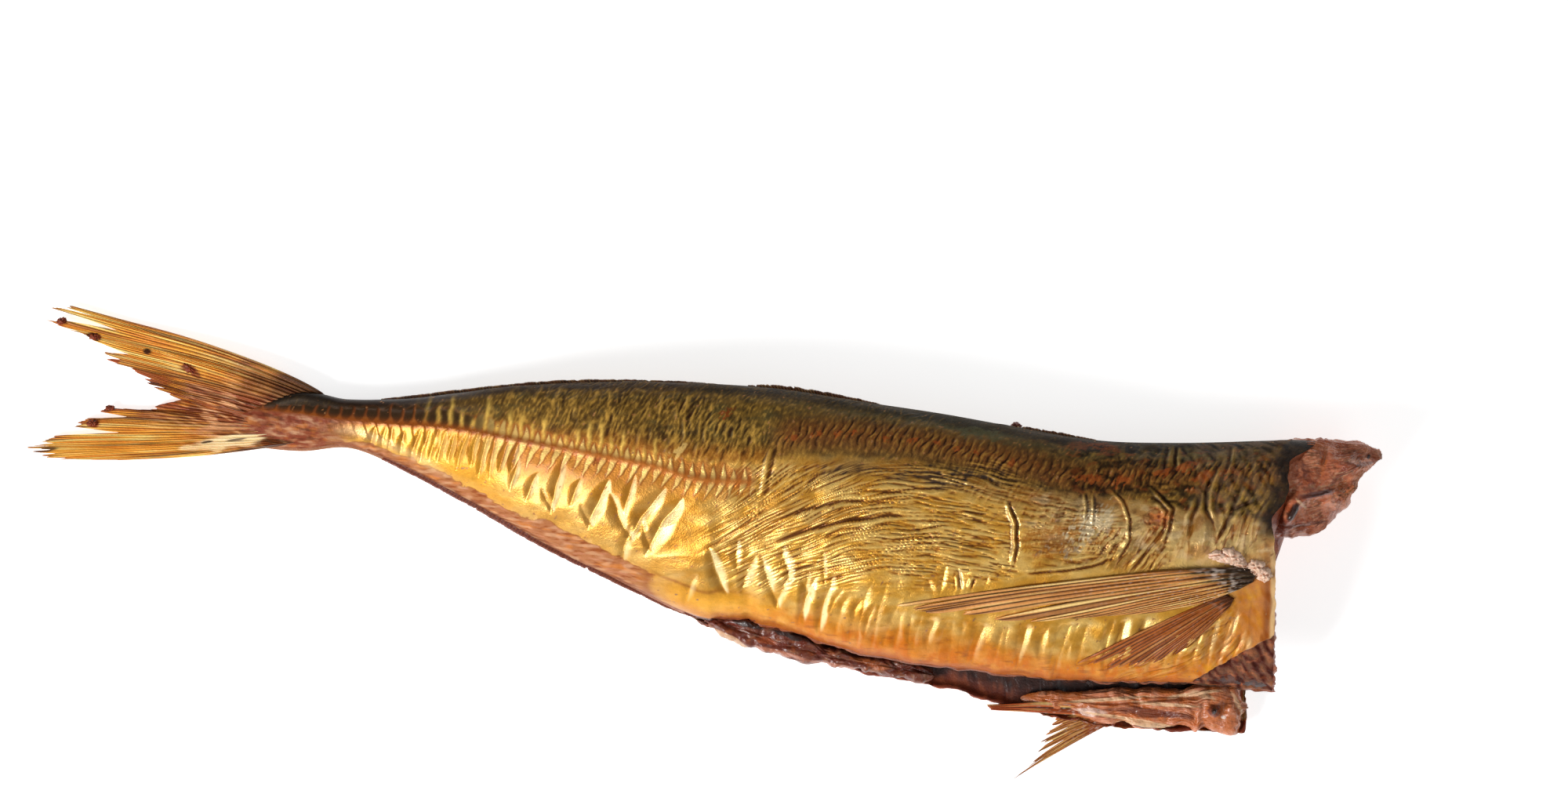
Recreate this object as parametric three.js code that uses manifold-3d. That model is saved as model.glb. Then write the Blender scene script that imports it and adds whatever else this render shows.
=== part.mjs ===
// A headless smoked horse mackerel, gutted through a slit along the belly and lying on its side.
// Millimetres. +X runs from the tail to the cut neck, +Y from the belly to the back, and +Z is up.
// The near flank is the one that faces up. The far flank lies flat on the table.
import * as THREE from "three";
import { mergeVertices } from "three/addons/utils/BufferGeometryUtils.js";
import Module from "manifold-3d";

const wasm = await Module();
wasm.setup();

// Driving dimensions.
const bodyStartX = -124; // end of the flesh, inside the tail fin
const nearFrontX = 146; // front edge of the near flank, at the collar
const farFrontX = 138; // front edge of the far flank
const ventX = -4; // rear end of the belly slit
const wall = 3.2; // belly wall
const rim = 1.8; // belly wall at its cut edge
const dorsalFullness = 0.78; // under 1 is blunter than an ellipse
const ventralFullness = 1.05;
const backHeaviness = 0.16; // how far the thickest part sits towards the back

// The body's outline seen from above, and the heights of its edges and flanks, at stations along it.
// back and nearEdge, farEdge: y of the back and of the two belly edges. ridge: height of the back's
// edge. nearZ, farZ: height of the belly edges. rise and drop: how far the flanks bulge up and down.
const columns = ["back", "nearEdge", "farEdge", "ridge", "nearZ", "farZ", "rise", "drop"];
const stations = [
  // x, then the columns
  [-124, 33.6, 27.6, 27.4, 2.4, 2.4, 2.2, 1.6, 1.2],
  [-112, 37.0, 25.4, 25.2, 3.2, 3.0, 2.8, 3.0, 2.2],
  [-102, 39.2, 24.6, 24.4, 4.0, 3.6, 3.4, 4.0, 3.2],
  [-90, 37.0, 25.4, 25.2, 5.0, 4.4, 4.2, 4.8, 4.0],
  [-78, 37.2, 20.8, 20.6, 6.0, 4.8, 4.6, 6.0, 5.2],
  [-60, 39.0, 11.6, 11.4, 8.6, 5.6, 5.4, 9.0, 8.0],
  [-40, 41.0, 0.2, 0.0, 11.6, 6.8, 6.4, 12.6, 10.8],
  [-20, 41.6, -9.6, -9.8, 14.0, 8.0, 6.0, 15.4, 12.6],
  [0, 41.2, -18.6, -19.6, 15.6, 8.6, 4.4, 17.2, 13.8],
  [20, 39.8, -21.6, -27.0, 16.4, 9.4, 3.0, 18.4, 14.4],
  [42, 36.4, -28.0, -32.4, 16.8, 10.4, 2.4, 19.0, 14.8],
  [62, 33.4, -31.0, -36.4, 16.8, 11.4, 2.4, 19.0, 14.8],
  [82, 29.8, -33.6, -42.0, 16.6, 12.0, 2.6, 18.6, 14.8],
  [102, 26.6, -35.0, -46.0, 16.4, 12.4, 3.0, 18.0, 14.6],
  [122, 26.0, -35.2, -47.4, 16.2, 12.4, 3.4, 17.2, 14.4],
  [146, 26.6, -37.4, -48.6, 16.0, 12.0, 3.6, 15.8, 14.2],
];
const curves = new THREE.CubicInterpolant(
  stations.map(([x]) => x),
  stations.flatMap(([, ...values]) => values),
  columns.length,
);

function stationAt(x) {
  const values = curves.evaluate(THREE.MathUtils.clamp(x, bodyStartX, nearFrontX));
  return Object.fromEntries(columns.map((c, i) => [c, values[i]]));
}

// How full the section is at side, which runs from -1 at the belly edge to 1 at the back.
function bulge(side) {
  const fullness = THREE.MathUtils.lerp(ventralFullness, dorsalFullness, (side + 1) / 2);
  return Math.pow(Math.max(0, 1 - side * side), fullness / 2) * (1 + backHeaviness * side);
}

// Long soft folds across the lower flank, where the skin has shrunk over the flesh.
const foldDepth = 0.55;
const foldPitch = 8.5;
const foldsMiddle = -0.35; // where on the flank they are deepest
const foldsSpread = 0.45;
const foldsFullRise = 12; // they fade where the flank is flatter than this
function folds(x, side) {
  const band = Math.exp(-Math.pow((side - foldsMiddle) / foldsSpread, 2));
  const sway = 1.4 * Math.sin(x / 17) + 5 * side;
  return foldDepth * band * Math.sin((2 * Math.PI * (x + sway)) / foldPitch);
}

function nearFlank(x, side) {
  const s = stationAt(x);
  const share = (side + 1) / 2;
  const base = THREE.MathUtils.lerp(s.nearZ, s.ridge, share);
  const relief = folds(x, side) * Math.min(1, s.rise / foldsFullRise);
  const y = THREE.MathUtils.lerp(s.nearEdge, s.back, share);
  return new THREE.Vector3(x, y, base + s.rise * bulge(side) + relief);
}

function farFlank(x, side) {
  const s = stationAt(x);
  const share = (side + 1) / 2;
  const base = THREE.MathUtils.lerp(s.farZ, s.ridge, share);
  const y = THREE.MathUtils.lerp(s.farEdge, s.back, share);
  return new THREE.Vector3(x, y, Math.max(0, base - s.drop * bulge(side)));
}

// Height of the near flank above a point seen from above.
function nearHeight(x, y) {
  const s = stationAt(x);
  const side = THREE.MathUtils.clamp((2 * (y - s.nearEdge)) / (s.back - s.nearEdge) - 1, -1, 1);
  return nearFlank(x, side).z;
}

// A closed geometry over rings of equally many points, each end closed on its middle.
// Rings follow one another along +X, or along the path, and turn from -Y over +Z to +Y.
function loft(rings) {
  const count = rings[0].length;
  const middles = [rings[0], rings[rings.length - 1]].map((ring) =>
    ring.reduce((sum, p) => sum.add(p), new THREE.Vector3()).divideScalar(count),
  );
  const points = [...rings.flat(), ...middles];
  const index = [];
  for (let r = 0; r + 1 < rings.length; r++) {
    for (let i = 0; i < count; i++) {
      const a = r * count + i;
      const b = r * count + ((i + 1) % count);
      index.push(a, a + count, b + count, a, b + count, b);
    }
  }
  const last = (rings.length - 1) * count;
  for (let i = 0; i < count; i++) {
    const next = (i + 1) % count;
    index.push(rings.length * count, i, next);
    index.push(rings.length * count + 1, last + next, last + i);
  }
  return new THREE.BufferGeometry().setFromPoints(points).setIndex(index);
}

function toSolid(geometry) {
  const bare = new THREE.BufferGeometry();
  bare.setAttribute("position", geometry.getAttribute("position"));
  if (geometry.index) bare.setIndex(geometry.index);
  const merged = mergeVertices(bare, 1e-4);
  return new wasm.Manifold(
    new wasm.Mesh({
      numProp: 3,
      vertProperties: merged.getAttribute("position").array,
      triVerts: new Uint32Array(merged.index.array),
    }),
  );
}

function toGeometry(solid) {
  const { vertProperties, triVerts } = solid.getMesh();
  const geometry = new THREE.BufferGeometry();
  geometry.setAttribute("position", new THREE.BufferAttribute(new Float32Array(vertProperties), 3));
  geometry.setIndex(new THREE.BufferAttribute(new Uint32Array(triVerts), 1));
  geometry.computeVertexNormals();
  return geometry;
}

// The whole body without its hollow: the near flank from its belly edge over the back, then the far flank.
const bodySteps = 58;
const flankSteps = 15;
function bodySolid() {
  const rings = [];
  for (let r = 0; r <= bodySteps; r++) {
    const along = r / bodySteps;
    const ring = [];
    for (let i = 0; i < flankSteps; i++) {
      const side = -Math.cos((Math.PI * i) / flankSteps);
      ring.push(nearFlank(THREE.MathUtils.lerp(bodyStartX, nearFrontX, along), side));
    }
    for (let i = 0; i < flankSteps; i++) {
      const turn = i / flankSteps;
      const front = THREE.MathUtils.lerp(nearFrontX, farFrontX, turn);
      ring.push(farFlank(THREE.MathUtils.lerp(bodyStartX, front, along), Math.cos(Math.PI * turn)));
    }
    ring.push(farFlank(THREE.MathUtils.lerp(bodyStartX, farFrontX, along), -1));
    rings.push(ring);
  }
  return toSolid(loft(rings));
}

// The gutted hollow: inside both belly walls, out through the slit, and open at the neck.
const hollow = {
  steps: 30,
  sides: 9,
  pastNeck: 6, // how far it runs out past the near flank's front
  pastEdges: 8, // and past the belly's edges
  ventDepth: 0.08, // how far up the section it reaches at the vent
  moreDepth: 0.86, // and how much further at its full depth
  fullAt: 0.45, // share of its length where it is at full depth
  nearExtra: 0.7, // the near wall is this much thicker than the far one
  closedAt: 0.45, // height of its inner end between the two walls
  closedGap: 0.05, // share of its height that is left there
};
function hollowSolid() {
  const { lerp } = THREE.MathUtils;
  const rings = [];
  for (let r = 0; r <= hollow.steps; r++) {
    const along = r / hollow.steps;
    const x = lerp(ventX, nearFrontX + hollow.pastNeck, along);
    const s = stationAt(x);
    const depth = hollow.ventDepth + hollow.moreDepth * Math.sqrt(Math.min(1, along / hollow.fullAt));
    const thickness = Math.min(wall, rim + wall * along);
    const nearSide = [];
    const farSide = [];
    for (let i = 0; i < hollow.sides; i++) {
      const up = i / (hollow.sides - 1);
      const side = -1 + depth * Math.sin((Math.PI / 2) * up);
      const near = nearFlank(x, side);
      const far = farFlank(x, side);
      const atRim = Math.pow(1 - up, 2);
      const top = near.z - lerp(thickness + hollow.nearExtra, rim, atRim);
      const bottom = far.z + lerp(thickness, rim, atRim);
      const middle = lerp(bottom, top, hollow.closedAt);
      const open = Math.max(Math.cos((Math.PI / 2) * up), hollow.closedGap);
      nearSide.push(new THREE.Vector3(x, near.y, lerp(middle, Math.max(top, middle + 0.1), open)));
      farSide.push(new THREE.Vector3(x, lerp(far.y, near.y, up), lerp(middle, bottom, open)));
    }
    const outside = s.farEdge - hollow.pastEdges;
    const mouthTop = new THREE.Vector3(x, outside, nearSide[0].z);
    const mouthBottom = new THREE.Vector3(x, outside, s.farZ + rim);
    rings.push([mouthTop, ...nearSide, ...farSide.reverse(), mouthBottom]);
  }
  return toSolid(loft(rings));
}

// The bare neck: the back muscle and backbone, which reach past the skin and end in a torn face.
const neckTipX = 173.5;
const neckRings = [
  { x: 128, low: 4, high: 25, bottom: 5, top: 29, torn: 0 },
  { x: 146, low: 1.4, high: 26.4, bottom: 4.5, top: 29.5, torn: 0.5 },
  { x: 150, low: 1.8, high: 26.8, bottom: 5, top: 28, torn: 1 },
  { x: 154, low: 3.2, high: 26.9, bottom: 5, top: 27, torn: 1 },
  { x: 158, low: 3.4, high: 27.2, bottom: 5.5, top: 26, torn: 1 },
  { x: 162, low: 5.8, high: 26.8, bottom: 6.5, top: 24.5, torn: 1 },
  { x: 165.4, low: 9.5, high: 26.4, bottom: 8, top: 23, torn: 1 },
  { x: 168, low: 16, high: 25.8, bottom: 10, top: 21.5, torn: 0.7 },
  { x: neckTipX, low: 20.4, high: 24.0, bottom: 12.5, top: 18.5, torn: 0.5 },
];
const neckSides = 16;
const tornDepth = 0.13; // of the section's own size
function neckSolid() {
  const rings = neckRings.map((n, r) =>
    Array.from({ length: neckSides }, (_, i) => {
      const turn = (2 * Math.PI * i) / neckSides;
      const lump = 0.55 * Math.sin(3 * turn + 1.7 * r) + 0.45 * Math.cos(5 * turn + 2.3 * r);
      const size = 1 + tornDepth * n.torn * Math.min(0.4, lump);
      const y = (n.low + n.high) / 2 - (Math.cos(turn) * size * (n.high - n.low)) / 2;
      const z = (n.bottom + n.top) / 2 + (Math.sin(turn) * size * (n.top - n.bottom)) / 2;
      return new THREE.Vector3(n.x, y, z);
    }),
  );
  return toSolid(loft(rings));
}

// One fin ray: a strip with a raised middle, from root to tip, bent by sag across its length.
// It keeps its width until near the tip, so that neighbours merge into a web with a ragged edge.
const rayShares = [0, 0.3, 0.62, 0.86, 1];
function ray({ root, tip, width, thick, sag = 0, lift }) {
  const path = new THREE.Vector2().subVectors(tip, root);
  const across = new THREE.Vector2(-path.y, path.x).normalize();
  const rings = [];
  for (const t of rayShares) {
    const middle = root.clone().addScaledVector(path, t).addScaledVector(across, sag * 4 * t * (1 - t));
    const half = (width / 2) * (1 - 0.9 * Math.pow(t, 5));
    const z = lift(middle.x, middle.y, t);
    const high = (thick / 2) * (1 - 0.6 * t);
    const edge = (amount) => middle.clone().addScaledVector(across, amount);
    const [left, right] = [edge(-half), edge(half)];
    rings.push([
      new THREE.Vector3(left.x, left.y, z),
      new THREE.Vector3(middle.x, middle.y, z + high),
      new THREE.Vector3(right.x, right.y, z),
      new THREE.Vector3(middle.x, middle.y, z - high),
    ]);
  }
  return toSolid(loft(rings));
}

// A fan of rays between two roots, one to each tip.
function fan({ roots, tips, width, thick, sag, lift }) {
  return tips.map(([x, y], i) => {
    const share = tips.length > 1 ? i / (tips.length - 1) : 0;
    const root = new THREE.Vector2(...roots[0]).lerp(new THREE.Vector2(...roots[1]), share);
    return ray({ root, tip: new THREE.Vector2(x, y), width, thick, sag, lift });
  });
}

// The fins. roots are the ends of each fin's base, tips are its rays' ends, both seen from above.
const upperLobe = {
  roots: [[-103, 38.4], [-117, 33.2]],
  tips: [
    [-162.5, 61.4], [-166.8, 60.6], [-168.2, 57.2], [-160.4, 54.4], [-153.6, 50.4],
    [-152.4, 47.2], [-143.4, 43], [-139.6, 39.6], [-133.8, 37.2],
  ],
  width: 5.0,
  thick: 1.9,
  sag: -0.8,
  lift: (x, y, t) => 3.4 - 1.6 * t,
};
const lowerLobe = {
  roots: [[-117, 32.2], [-105, 25.6]],
  tips: [
    [-139.4, 35.8], [-152.8, 35], [-149, 31.6], [-159.8, 31.2], [-156, 28.4],
    [-168.4, 26.6], [-173.5, 24.6], [-168.6, 22.6], [-160, 21.6],
  ],
  width: 4.8,
  thick: 1.9,
  sag: -0.7,
  lift: (x, y, t) => 3.2 - 1.7 * t,
};
const pectoralFin = {
  roots: [[140.4, -6.8], [139.6, -10.4]],
  tips: [
    [85.4, -9.8], [68.4, -13.6], [47.6, -15.4], [54.4, -17], [70, -18.6],
    [82.4, -21.8], [112, -16.8],
  ],
  width: 3.4,
  thick: 2.4,
  sag: -1.6,
  lift: (x, y) => nearHeight(x, y) + 0.3,
};
const pelvicFin = {
  roots: [[132.4, -14.6], [132.8, -17.4]],
  tips: [[99, -30.6], [104, -31], [110, -30.4], [118, -28.6], [126, -25.6]],
  width: 3.0,
  thick: 2.0,
  sag: 0.4,
  lift: (x, y) => nearHeight(x, y) + 0.1,
};
const farPelvicFin = {
  roots: [[103, -44.6], [105, -46.2]],
  tips: [[90, -48], [86, -52], [84.6, -56.8], [79, -61.6]],
  width: 2.0,
  thick: 1.6,
  sag: 0.5,
  lift: (x, y, t) => 3.0 - 2.0 * t,
};
const farSpine = {
  roots: [[106, -42.4], [106, -42.4]],
  tips: [[72.8, -41.8]],
  width: 3.4,
  thick: 3.0,
  sag: 0,
  lift: (x, y, t) => 5.0 - 0.6 * t,
};

// Low blades: the folded fins along the back and the strip that the anal fin grows from.
const bladeStep = 14;
const bladeRoot = 2.4; // how deep they sit in the body
function blade({ from, to, reach, edgeAt, thick }) {
  const steps = Math.max(3, Math.round((to - from) / bladeStep));
  const rings = [];
  for (let r = 0; r <= steps; r++) {
    const x = THREE.MathUtils.lerp(from, to, r / steps);
    const { y, z } = edgeAt(x);
    const along = THREE.MathUtils.lerp(0.04, 0.96, r / steps);
    const out = reach * Math.sqrt(Math.sin(Math.PI * along));
    const root = -Math.sign(reach) * bladeRoot;
    const section = [
      [root, -thick / 2],
      [root, thick / 2],
      [out, thick / 5],
      [out, -thick / 5],
    ];
    rings.push(section.map(([dy, dz]) => new THREE.Vector3(x, y + dy, z + dz)));
  }
  const solid = toSolid(loft(rings));
  return solid.volume() > 0 ? solid : toSolid(loft(rings.map((ring) => ring.reverse())));
}
const backEdge = (x) => ({ y: stationAt(x).back, z: stationAt(x).ridge });
const bellyEdge = (x) => ({ y: stationAt(x).farEdge, z: stationAt(x).farZ });
const blades = [
  { from: -80, to: 8, reach: 0.9, edgeAt: backEdge, thick: 2.2 },
  { from: 16, to: 50, reach: 1.6, edgeAt: backEdge, thick: 2.0 },
  { from: 80, to: 104, reach: 1.2, edgeAt: backEdge, thick: 2.6 },
  { from: -80, to: 4, reach: -1.2, edgeAt: bellyEdge, thick: 2.6 },
];

// Keeled plates along the lateral line of the rear body. They stand on the near flank alone,
// because the far row is pressed flat against the table.
const scutePitch = 3.1;
const scuteFrom = -100;
const scuteTo = 15;
const scuteTall = { from: 2.6, to: 4.4 };
const scuteKeel = 0.75;
const scuteSunk = { edge: 0.7, middle: 1.4 };
const lateralLine = new THREE.CatmullRomCurve3(
  [[-104, 30.4], [-82, 31], [-63, 30], [-43, 26.4], [-23, 22.6], [-4, 17.4], [13, 15.8]].map(
    ([x, y]) => new THREE.Vector3(x, y, 0),
  ),
);
function scute(x, y, height) {
  const tall = THREE.MathUtils.mapLinear(x, scuteFrom, scuteTo, scuteTall.from, scuteTall.to);
  const ends = [
    { at: x - 1.5, size: 0.55 },
    { at: x + 1.1, size: 1 },
  ];
  const rings = ends.map(({ at, size }) => [
    new THREE.Vector3(at, y - tall * size, height - scuteSunk.edge),
    new THREE.Vector3(at, y, height + scuteKeel * size),
    new THREE.Vector3(at, y + tall * size * 0.8, height - scuteSunk.edge),
    new THREE.Vector3(at, y, height - scuteSunk.middle),
  ]);
  return toSolid(loft(rings));
}
function scuteRow() {
  const count = Math.floor((scuteTo - scuteFrom) / scutePitch);
  return Array.from({ length: count }, (_, i) => {
    const { x, y } = lateralLine.getPointAt(0.03 + (0.96 * i) / count);
    return scute(x, y, nearHeight(x, y));
  });
}

// Raw flesh along the front of the far belly edge, thickest at the collar.
const farFlesh = {
  from: 92,
  to: farFrontX - 0.4,
  steps: 9,
  sides: 8,
  width: 4.8,
  height: 3.6,
  inset: 4.6, // of its middle from the belly edge, and from the table
  lumps: 0.12,
};
function farFleshSolid() {
  const rings = [];
  for (let r = 0; r <= farFlesh.steps; r++) {
    const share = r / farFlesh.steps;
    const x = THREE.MathUtils.lerp(farFlesh.from, farFlesh.to, share);
    const size = 0.35 + 0.65 * Math.sqrt(share);
    const centre = new THREE.Vector3(x, stationAt(x).farEdge + farFlesh.inset * size, farFlesh.inset);
    rings.push(
      Array.from({ length: farFlesh.sides }, (_, i) => {
        const turn = (2 * Math.PI * i) / farFlesh.sides;
        const lump = size * (1 + farFlesh.lumps * Math.sin(2 * turn + 2.1 * r));
        const y = -Math.cos(turn) * farFlesh.width * lump;
        const z = Math.sin(turn) * farFlesh.height * lump;
        return centre.clone().add(new THREE.Vector3(0, y, z));
      }),
    );
  }
  return toSolid(loft(rings));
}

// The shoulder's torn flesh, at the root of the pectoral fin.
const shoulder = { x: 139, y: -4, long: 6, wide: 3.4, high: 2.6 };
function shoulderLump() {
  const lump = new THREE.IcosahedronGeometry(1, 1);
  lump.scale(shoulder.long, shoulder.wide, shoulder.high);
  lump.translate(shoulder.x, shoulder.y, nearHeight(shoulder.x, shoulder.y));
  return toSolid(lump);
}

function fish() {
  const carved = bodySolid().subtract(hollowSolid());
  const fins = [upperLobe, lowerLobe, pectoralFin, pelvicFin, farPelvicFin, farSpine].flatMap(fan);
  const flesh = [neckSolid(), farFleshSolid(), shoulderLump()];
  const pieces = [...flesh, ...fins, ...blades.map(blade), ...scuteRow()];
  const joined = pieces.reduce((sum, piece) => sum.add(piece), carved);
  const bodies = joined.decompose();
  return bodies.reduce((largest, body) => (body.volume() > largest.volume() ? body : largest));
}

const smokedSkin = new THREE.MeshStandardMaterial({ color: 0xb8842c, roughness: 0.38, metalness: 0.35 });
const mesh = new THREE.Mesh(toGeometry(fish()), smokedSkin);
mesh.name = "smoked_fish";
const group = new THREE.Group();
group.add(mesh);

export default group;
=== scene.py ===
import bmesh
import bpy
import numpy as np
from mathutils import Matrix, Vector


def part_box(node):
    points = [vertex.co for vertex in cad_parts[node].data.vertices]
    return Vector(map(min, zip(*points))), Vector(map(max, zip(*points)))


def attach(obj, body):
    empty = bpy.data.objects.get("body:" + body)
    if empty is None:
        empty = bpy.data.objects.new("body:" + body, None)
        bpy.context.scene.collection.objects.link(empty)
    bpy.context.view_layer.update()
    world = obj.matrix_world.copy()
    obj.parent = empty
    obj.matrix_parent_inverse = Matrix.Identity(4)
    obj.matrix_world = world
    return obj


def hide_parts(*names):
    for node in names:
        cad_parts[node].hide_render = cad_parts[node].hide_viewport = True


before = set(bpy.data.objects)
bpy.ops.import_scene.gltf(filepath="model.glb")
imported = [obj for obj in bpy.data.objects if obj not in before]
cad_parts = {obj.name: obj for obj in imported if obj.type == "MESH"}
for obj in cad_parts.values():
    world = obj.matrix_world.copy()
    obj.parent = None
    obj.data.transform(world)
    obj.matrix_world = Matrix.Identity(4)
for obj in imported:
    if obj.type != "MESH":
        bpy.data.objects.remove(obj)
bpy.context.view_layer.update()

# A headless smoked horse mackerel, lying on its side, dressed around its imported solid.
# Shapes are worked out in millimetres: x from the tail to the neck, y from belly to back, z up.
fishLow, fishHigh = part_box("smoked_fish")
modelledLength = 347.0
unit = (fishHigh.x - fishLow.x) / modelledLength
print("frame loaded, one modelled millimetre is %.6f m" % unit)


def ramp(low, high, value):  # smooth step: 0 at low, 1 at high
    share = np.clip((value - low) / (high - low), 0, 1)
    return share * share * (3 - 2 * share)


def fadeOut(low, high, value):  # the same downwards: 1 at low, 0 at high
    return 1 - ramp(low, high, value)


def bell(value, middle, spread):  # 1 at the middle, falling off as a Gaussian
    return np.exp(-((value - middle) / spread) ** 2)


def blend(a, b, share):  # straight mix of two values
    return a + (b - a) * share


def tint(base, colour, share):  # straight mix of a colour field towards one colour
    return base + (np.asarray(colour) - base) * np.asarray(share)[..., None]


def layered(base, layers):  # colours laid over a colour field one after another, each with its share
    for layer, share in layers:
        base = tint(base, layer, share)
    return base


def plain(one, like):  # one colour all over a field
    return np.broadcast_to(one, (*like.shape, 3))


def stacked(*fields):  # fields side by side along a new last axis
    return np.stack(np.broadcast_arrays(*fields), -1)


def colour(red, green, blue):  # screen values 0 to 255, to linear light
    screen = np.array([red, green, blue]) / 255
    return np.where(screen <= 0.04045, screen / 12.92, ((screen + 0.055) / 1.055) ** 2.4)


def palette(table):  # every colour of a table to linear light
    return {name: colour(*screen) for name, screen in table.items()}


def through(points):
    # A smooth curve through points (x, a, b...): a cubic whose slope at each point is the
    # mean of the slopes on its two sides. Returns a function that gives one array per column.
    table = np.array(points, float)
    xs, values = table[:, 0], table[:, 1:]
    steps = np.diff(xs)[:, None]
    sides = np.diff(values, axis=0) / steps
    slopes = np.vstack([sides[:1], (sides[:-1] + sides[1:]) / 2, sides[-1:]])

    def at(x):
        x = np.clip(x, xs[0], xs[-1])
        i = np.clip(np.searchsorted(xs, x, side="right") - 1, 0, len(xs) - 2)
        step = (xs[i + 1] - xs[i])[..., None]
        t = ((x - xs[i]) / step[..., 0])[..., None]
        start = (2 * t**3 - 3 * t**2 + 1) * values[i] + (t**3 - 2 * t**2 + t) * step * slopes[i]
        end = (3 * t**2 - 2 * t**3) * values[i + 1] + (t**3 - t**2) * step * slopes[i + 1]
        return np.moveaxis(start + end, -1, 0)

    return at


def soften(field, times):  # repeated means with the neighbours along both directions of a grid
    for _ in range(times):
        padded = np.pad(field, 1, mode="edge")
        sides = padded[:-2, 1:-1] + padded[2:, 1:-1] + padded[1:-1, :-2] + padded[1:-1, 2:]
        field = (sides + 2 * field) / 6
    return field


latticeSize = 256
darkestTint = 0.004  # no colour is blacker than this
weldReach = 1e-6  # metres
tiny = 1e-9  # keeps a division or a sign away from 0
smallestStep = 0.05  # of a slope, in millimetres
lowestPoint = 0.02  # of a piece that lies on the table, in millimetres
latticeTurns = np.random.default_rng(11).uniform(0, 2 * np.pi, (latticeSize, latticeSize))
latticeCos, latticeSin = np.cos(latticeTurns), np.sin(latticeTurns)


def noise(u, v, seed=0):
    # Gradient noise from -1 to 1: each lattice corner's slope times the way to it, eased together.
    u, v = u + 17.31 * seed, v + 41.77 * seed
    iu, iv = np.floor(u).astype(int), np.floor(v).astype(int)
    fu, fv = u - iu, v - iv

    def corner(a, b):
        i, j = (iu + a) % latticeSize, (iv + b) % latticeSize
        return latticeCos[i, j] * (fu - a) + latticeSin[i, j] * (fv - b)

    su, sv = fu**3 * (fu * (fu * 6 - 15) + 10), fv**3 * (fv * (fv * 6 - 15) + 10)
    low = blend(corner(0, 0), corner(1, 0), su)
    high = blend(corner(0, 1), corner(1, 1), su)
    return 1.5 * blend(low, high, sv)


def cloud(u, v, seed=0):  # three octaves of noise, each half as strong as the last
    return (noise(u, v, seed) + noise(2 * u, 2 * v, seed + 1) / 2 + noise(4 * u, 4 * v, seed + 2) / 4) / 1.5


def oval(x, y, midX, midY, long, wide, turn=0.0):  # 1 in a turned oval's middle, a Gaussian around it
    c, s = np.cos(np.radians(turn)), np.sin(np.radians(turn))
    along = ((x - midX) * c + (y - midY) * s) / long
    across = ((y - midY) * c - (x - midX) * s) / wide
    return np.exp(-(along**2 + across**2))


def stain(shown, x, y, stains, colours, ragged):
    # Tints ovals one after another, with outlines shifted by the ragged field.
    for midX, midY, long, wide, turn, name, strength in stains:
        inside = oval(x + 0.5 * wide * ragged, y + 0.4 * wide * ragged, midX, midY, long, wide, turn)
        shown = tint(shown, colours[name], strength * ramp(0.32, 0.62, inside + 0.14 * ragged))
    return shown


def unitNormals(points):  # cross product of the grid's two directions
    down, across = np.gradient(points, axis=0), np.gradient(points, axis=1)
    normals = np.cross(down, across)
    return normals / np.maximum(np.linalg.norm(normals, axis=-1, keepdims=True), tiny)


def gridFaces(rows, columns, around=False, start=0):
    # Quads between neighbouring rows and columns; around joins the last column to the first.
    spans = columns if around else columns - 1
    r, c = np.meshgrid(np.arange(rows - 1), np.arange(spans), indexing="ij")
    a, b = r * columns + c, r * columns + (c + 1) % columns
    return start + np.stack([a, a + columns, b + columns, b], -1).reshape(-1, 4)


def makePiece(name, points, faces, fields, normals=None, weld=False):
    # Puts arrays into a mesh: points in millimetres, faces with 4 corners, fields as point
    # attributes with 3 numbers each, for every point or once for all.
    points = np.asarray(points, float).reshape(-1, 3)
    corners, sizes = faces.ravel(), np.full(len(faces), faces.shape[1])
    mesh = bpy.data.meshes.new(name)
    mesh.vertices.add(len(points))
    mesh.vertices.foreach_set("co", (points * unit).astype(np.float32).ravel())
    mesh.loops.add(len(corners))
    mesh.loops.foreach_set("vertex_index", corners.astype(np.int32))
    mesh.polygons.add(len(sizes))
    mesh.polygons.foreach_set("loop_start", (np.cumsum(sizes) - sizes).astype(np.int32))
    mesh.polygons.foreach_set("use_smooth", np.ones(len(sizes), bool))
    mesh.update(calc_edges=True)
    for field, values in fields.items():
        values = np.asarray(values, float).reshape(-1, 3)
        if len(values) == 1:
            values = np.repeat(values, len(points), 0)
        four = np.concatenate([values, np.ones((len(values), 1))], 1).astype(np.float32)
        mesh.attributes.new(field, "FLOAT_COLOR", "POINT").data.foreach_set("color", four.ravel())
    if weld:
        edit = bmesh.new()
        edit.from_mesh(mesh)
        bmesh.ops.remove_doubles(edit, verts=edit.verts, dist=weldReach)
        bmesh.ops.dissolve_degenerate(edit, edges=edit.edges, dist=weldReach)
        if edit.calc_volume(signed=True) < 0:  # the grid ran the other way round
            bmesh.ops.reverse_faces(edit, faces=edit.faces)
        edit.to_mesh(mesh)
        edit.free()
    mesh.validate()
    if normals is not None:
        mesh.normals_split_custom_set_from_vertices(np.asarray(normals).reshape(-1, 3).astype(np.float32))
    piece = bpy.data.objects.new(name, mesh)
    bpy.context.scene.collection.objects.link(piece)
    return piece


def finishPiece(piece, material):  # material, and the piece's place in the frame
    piece.data.materials.append(material)
    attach(piece, "root")
    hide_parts("smoked_fish")
    return piece


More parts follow.
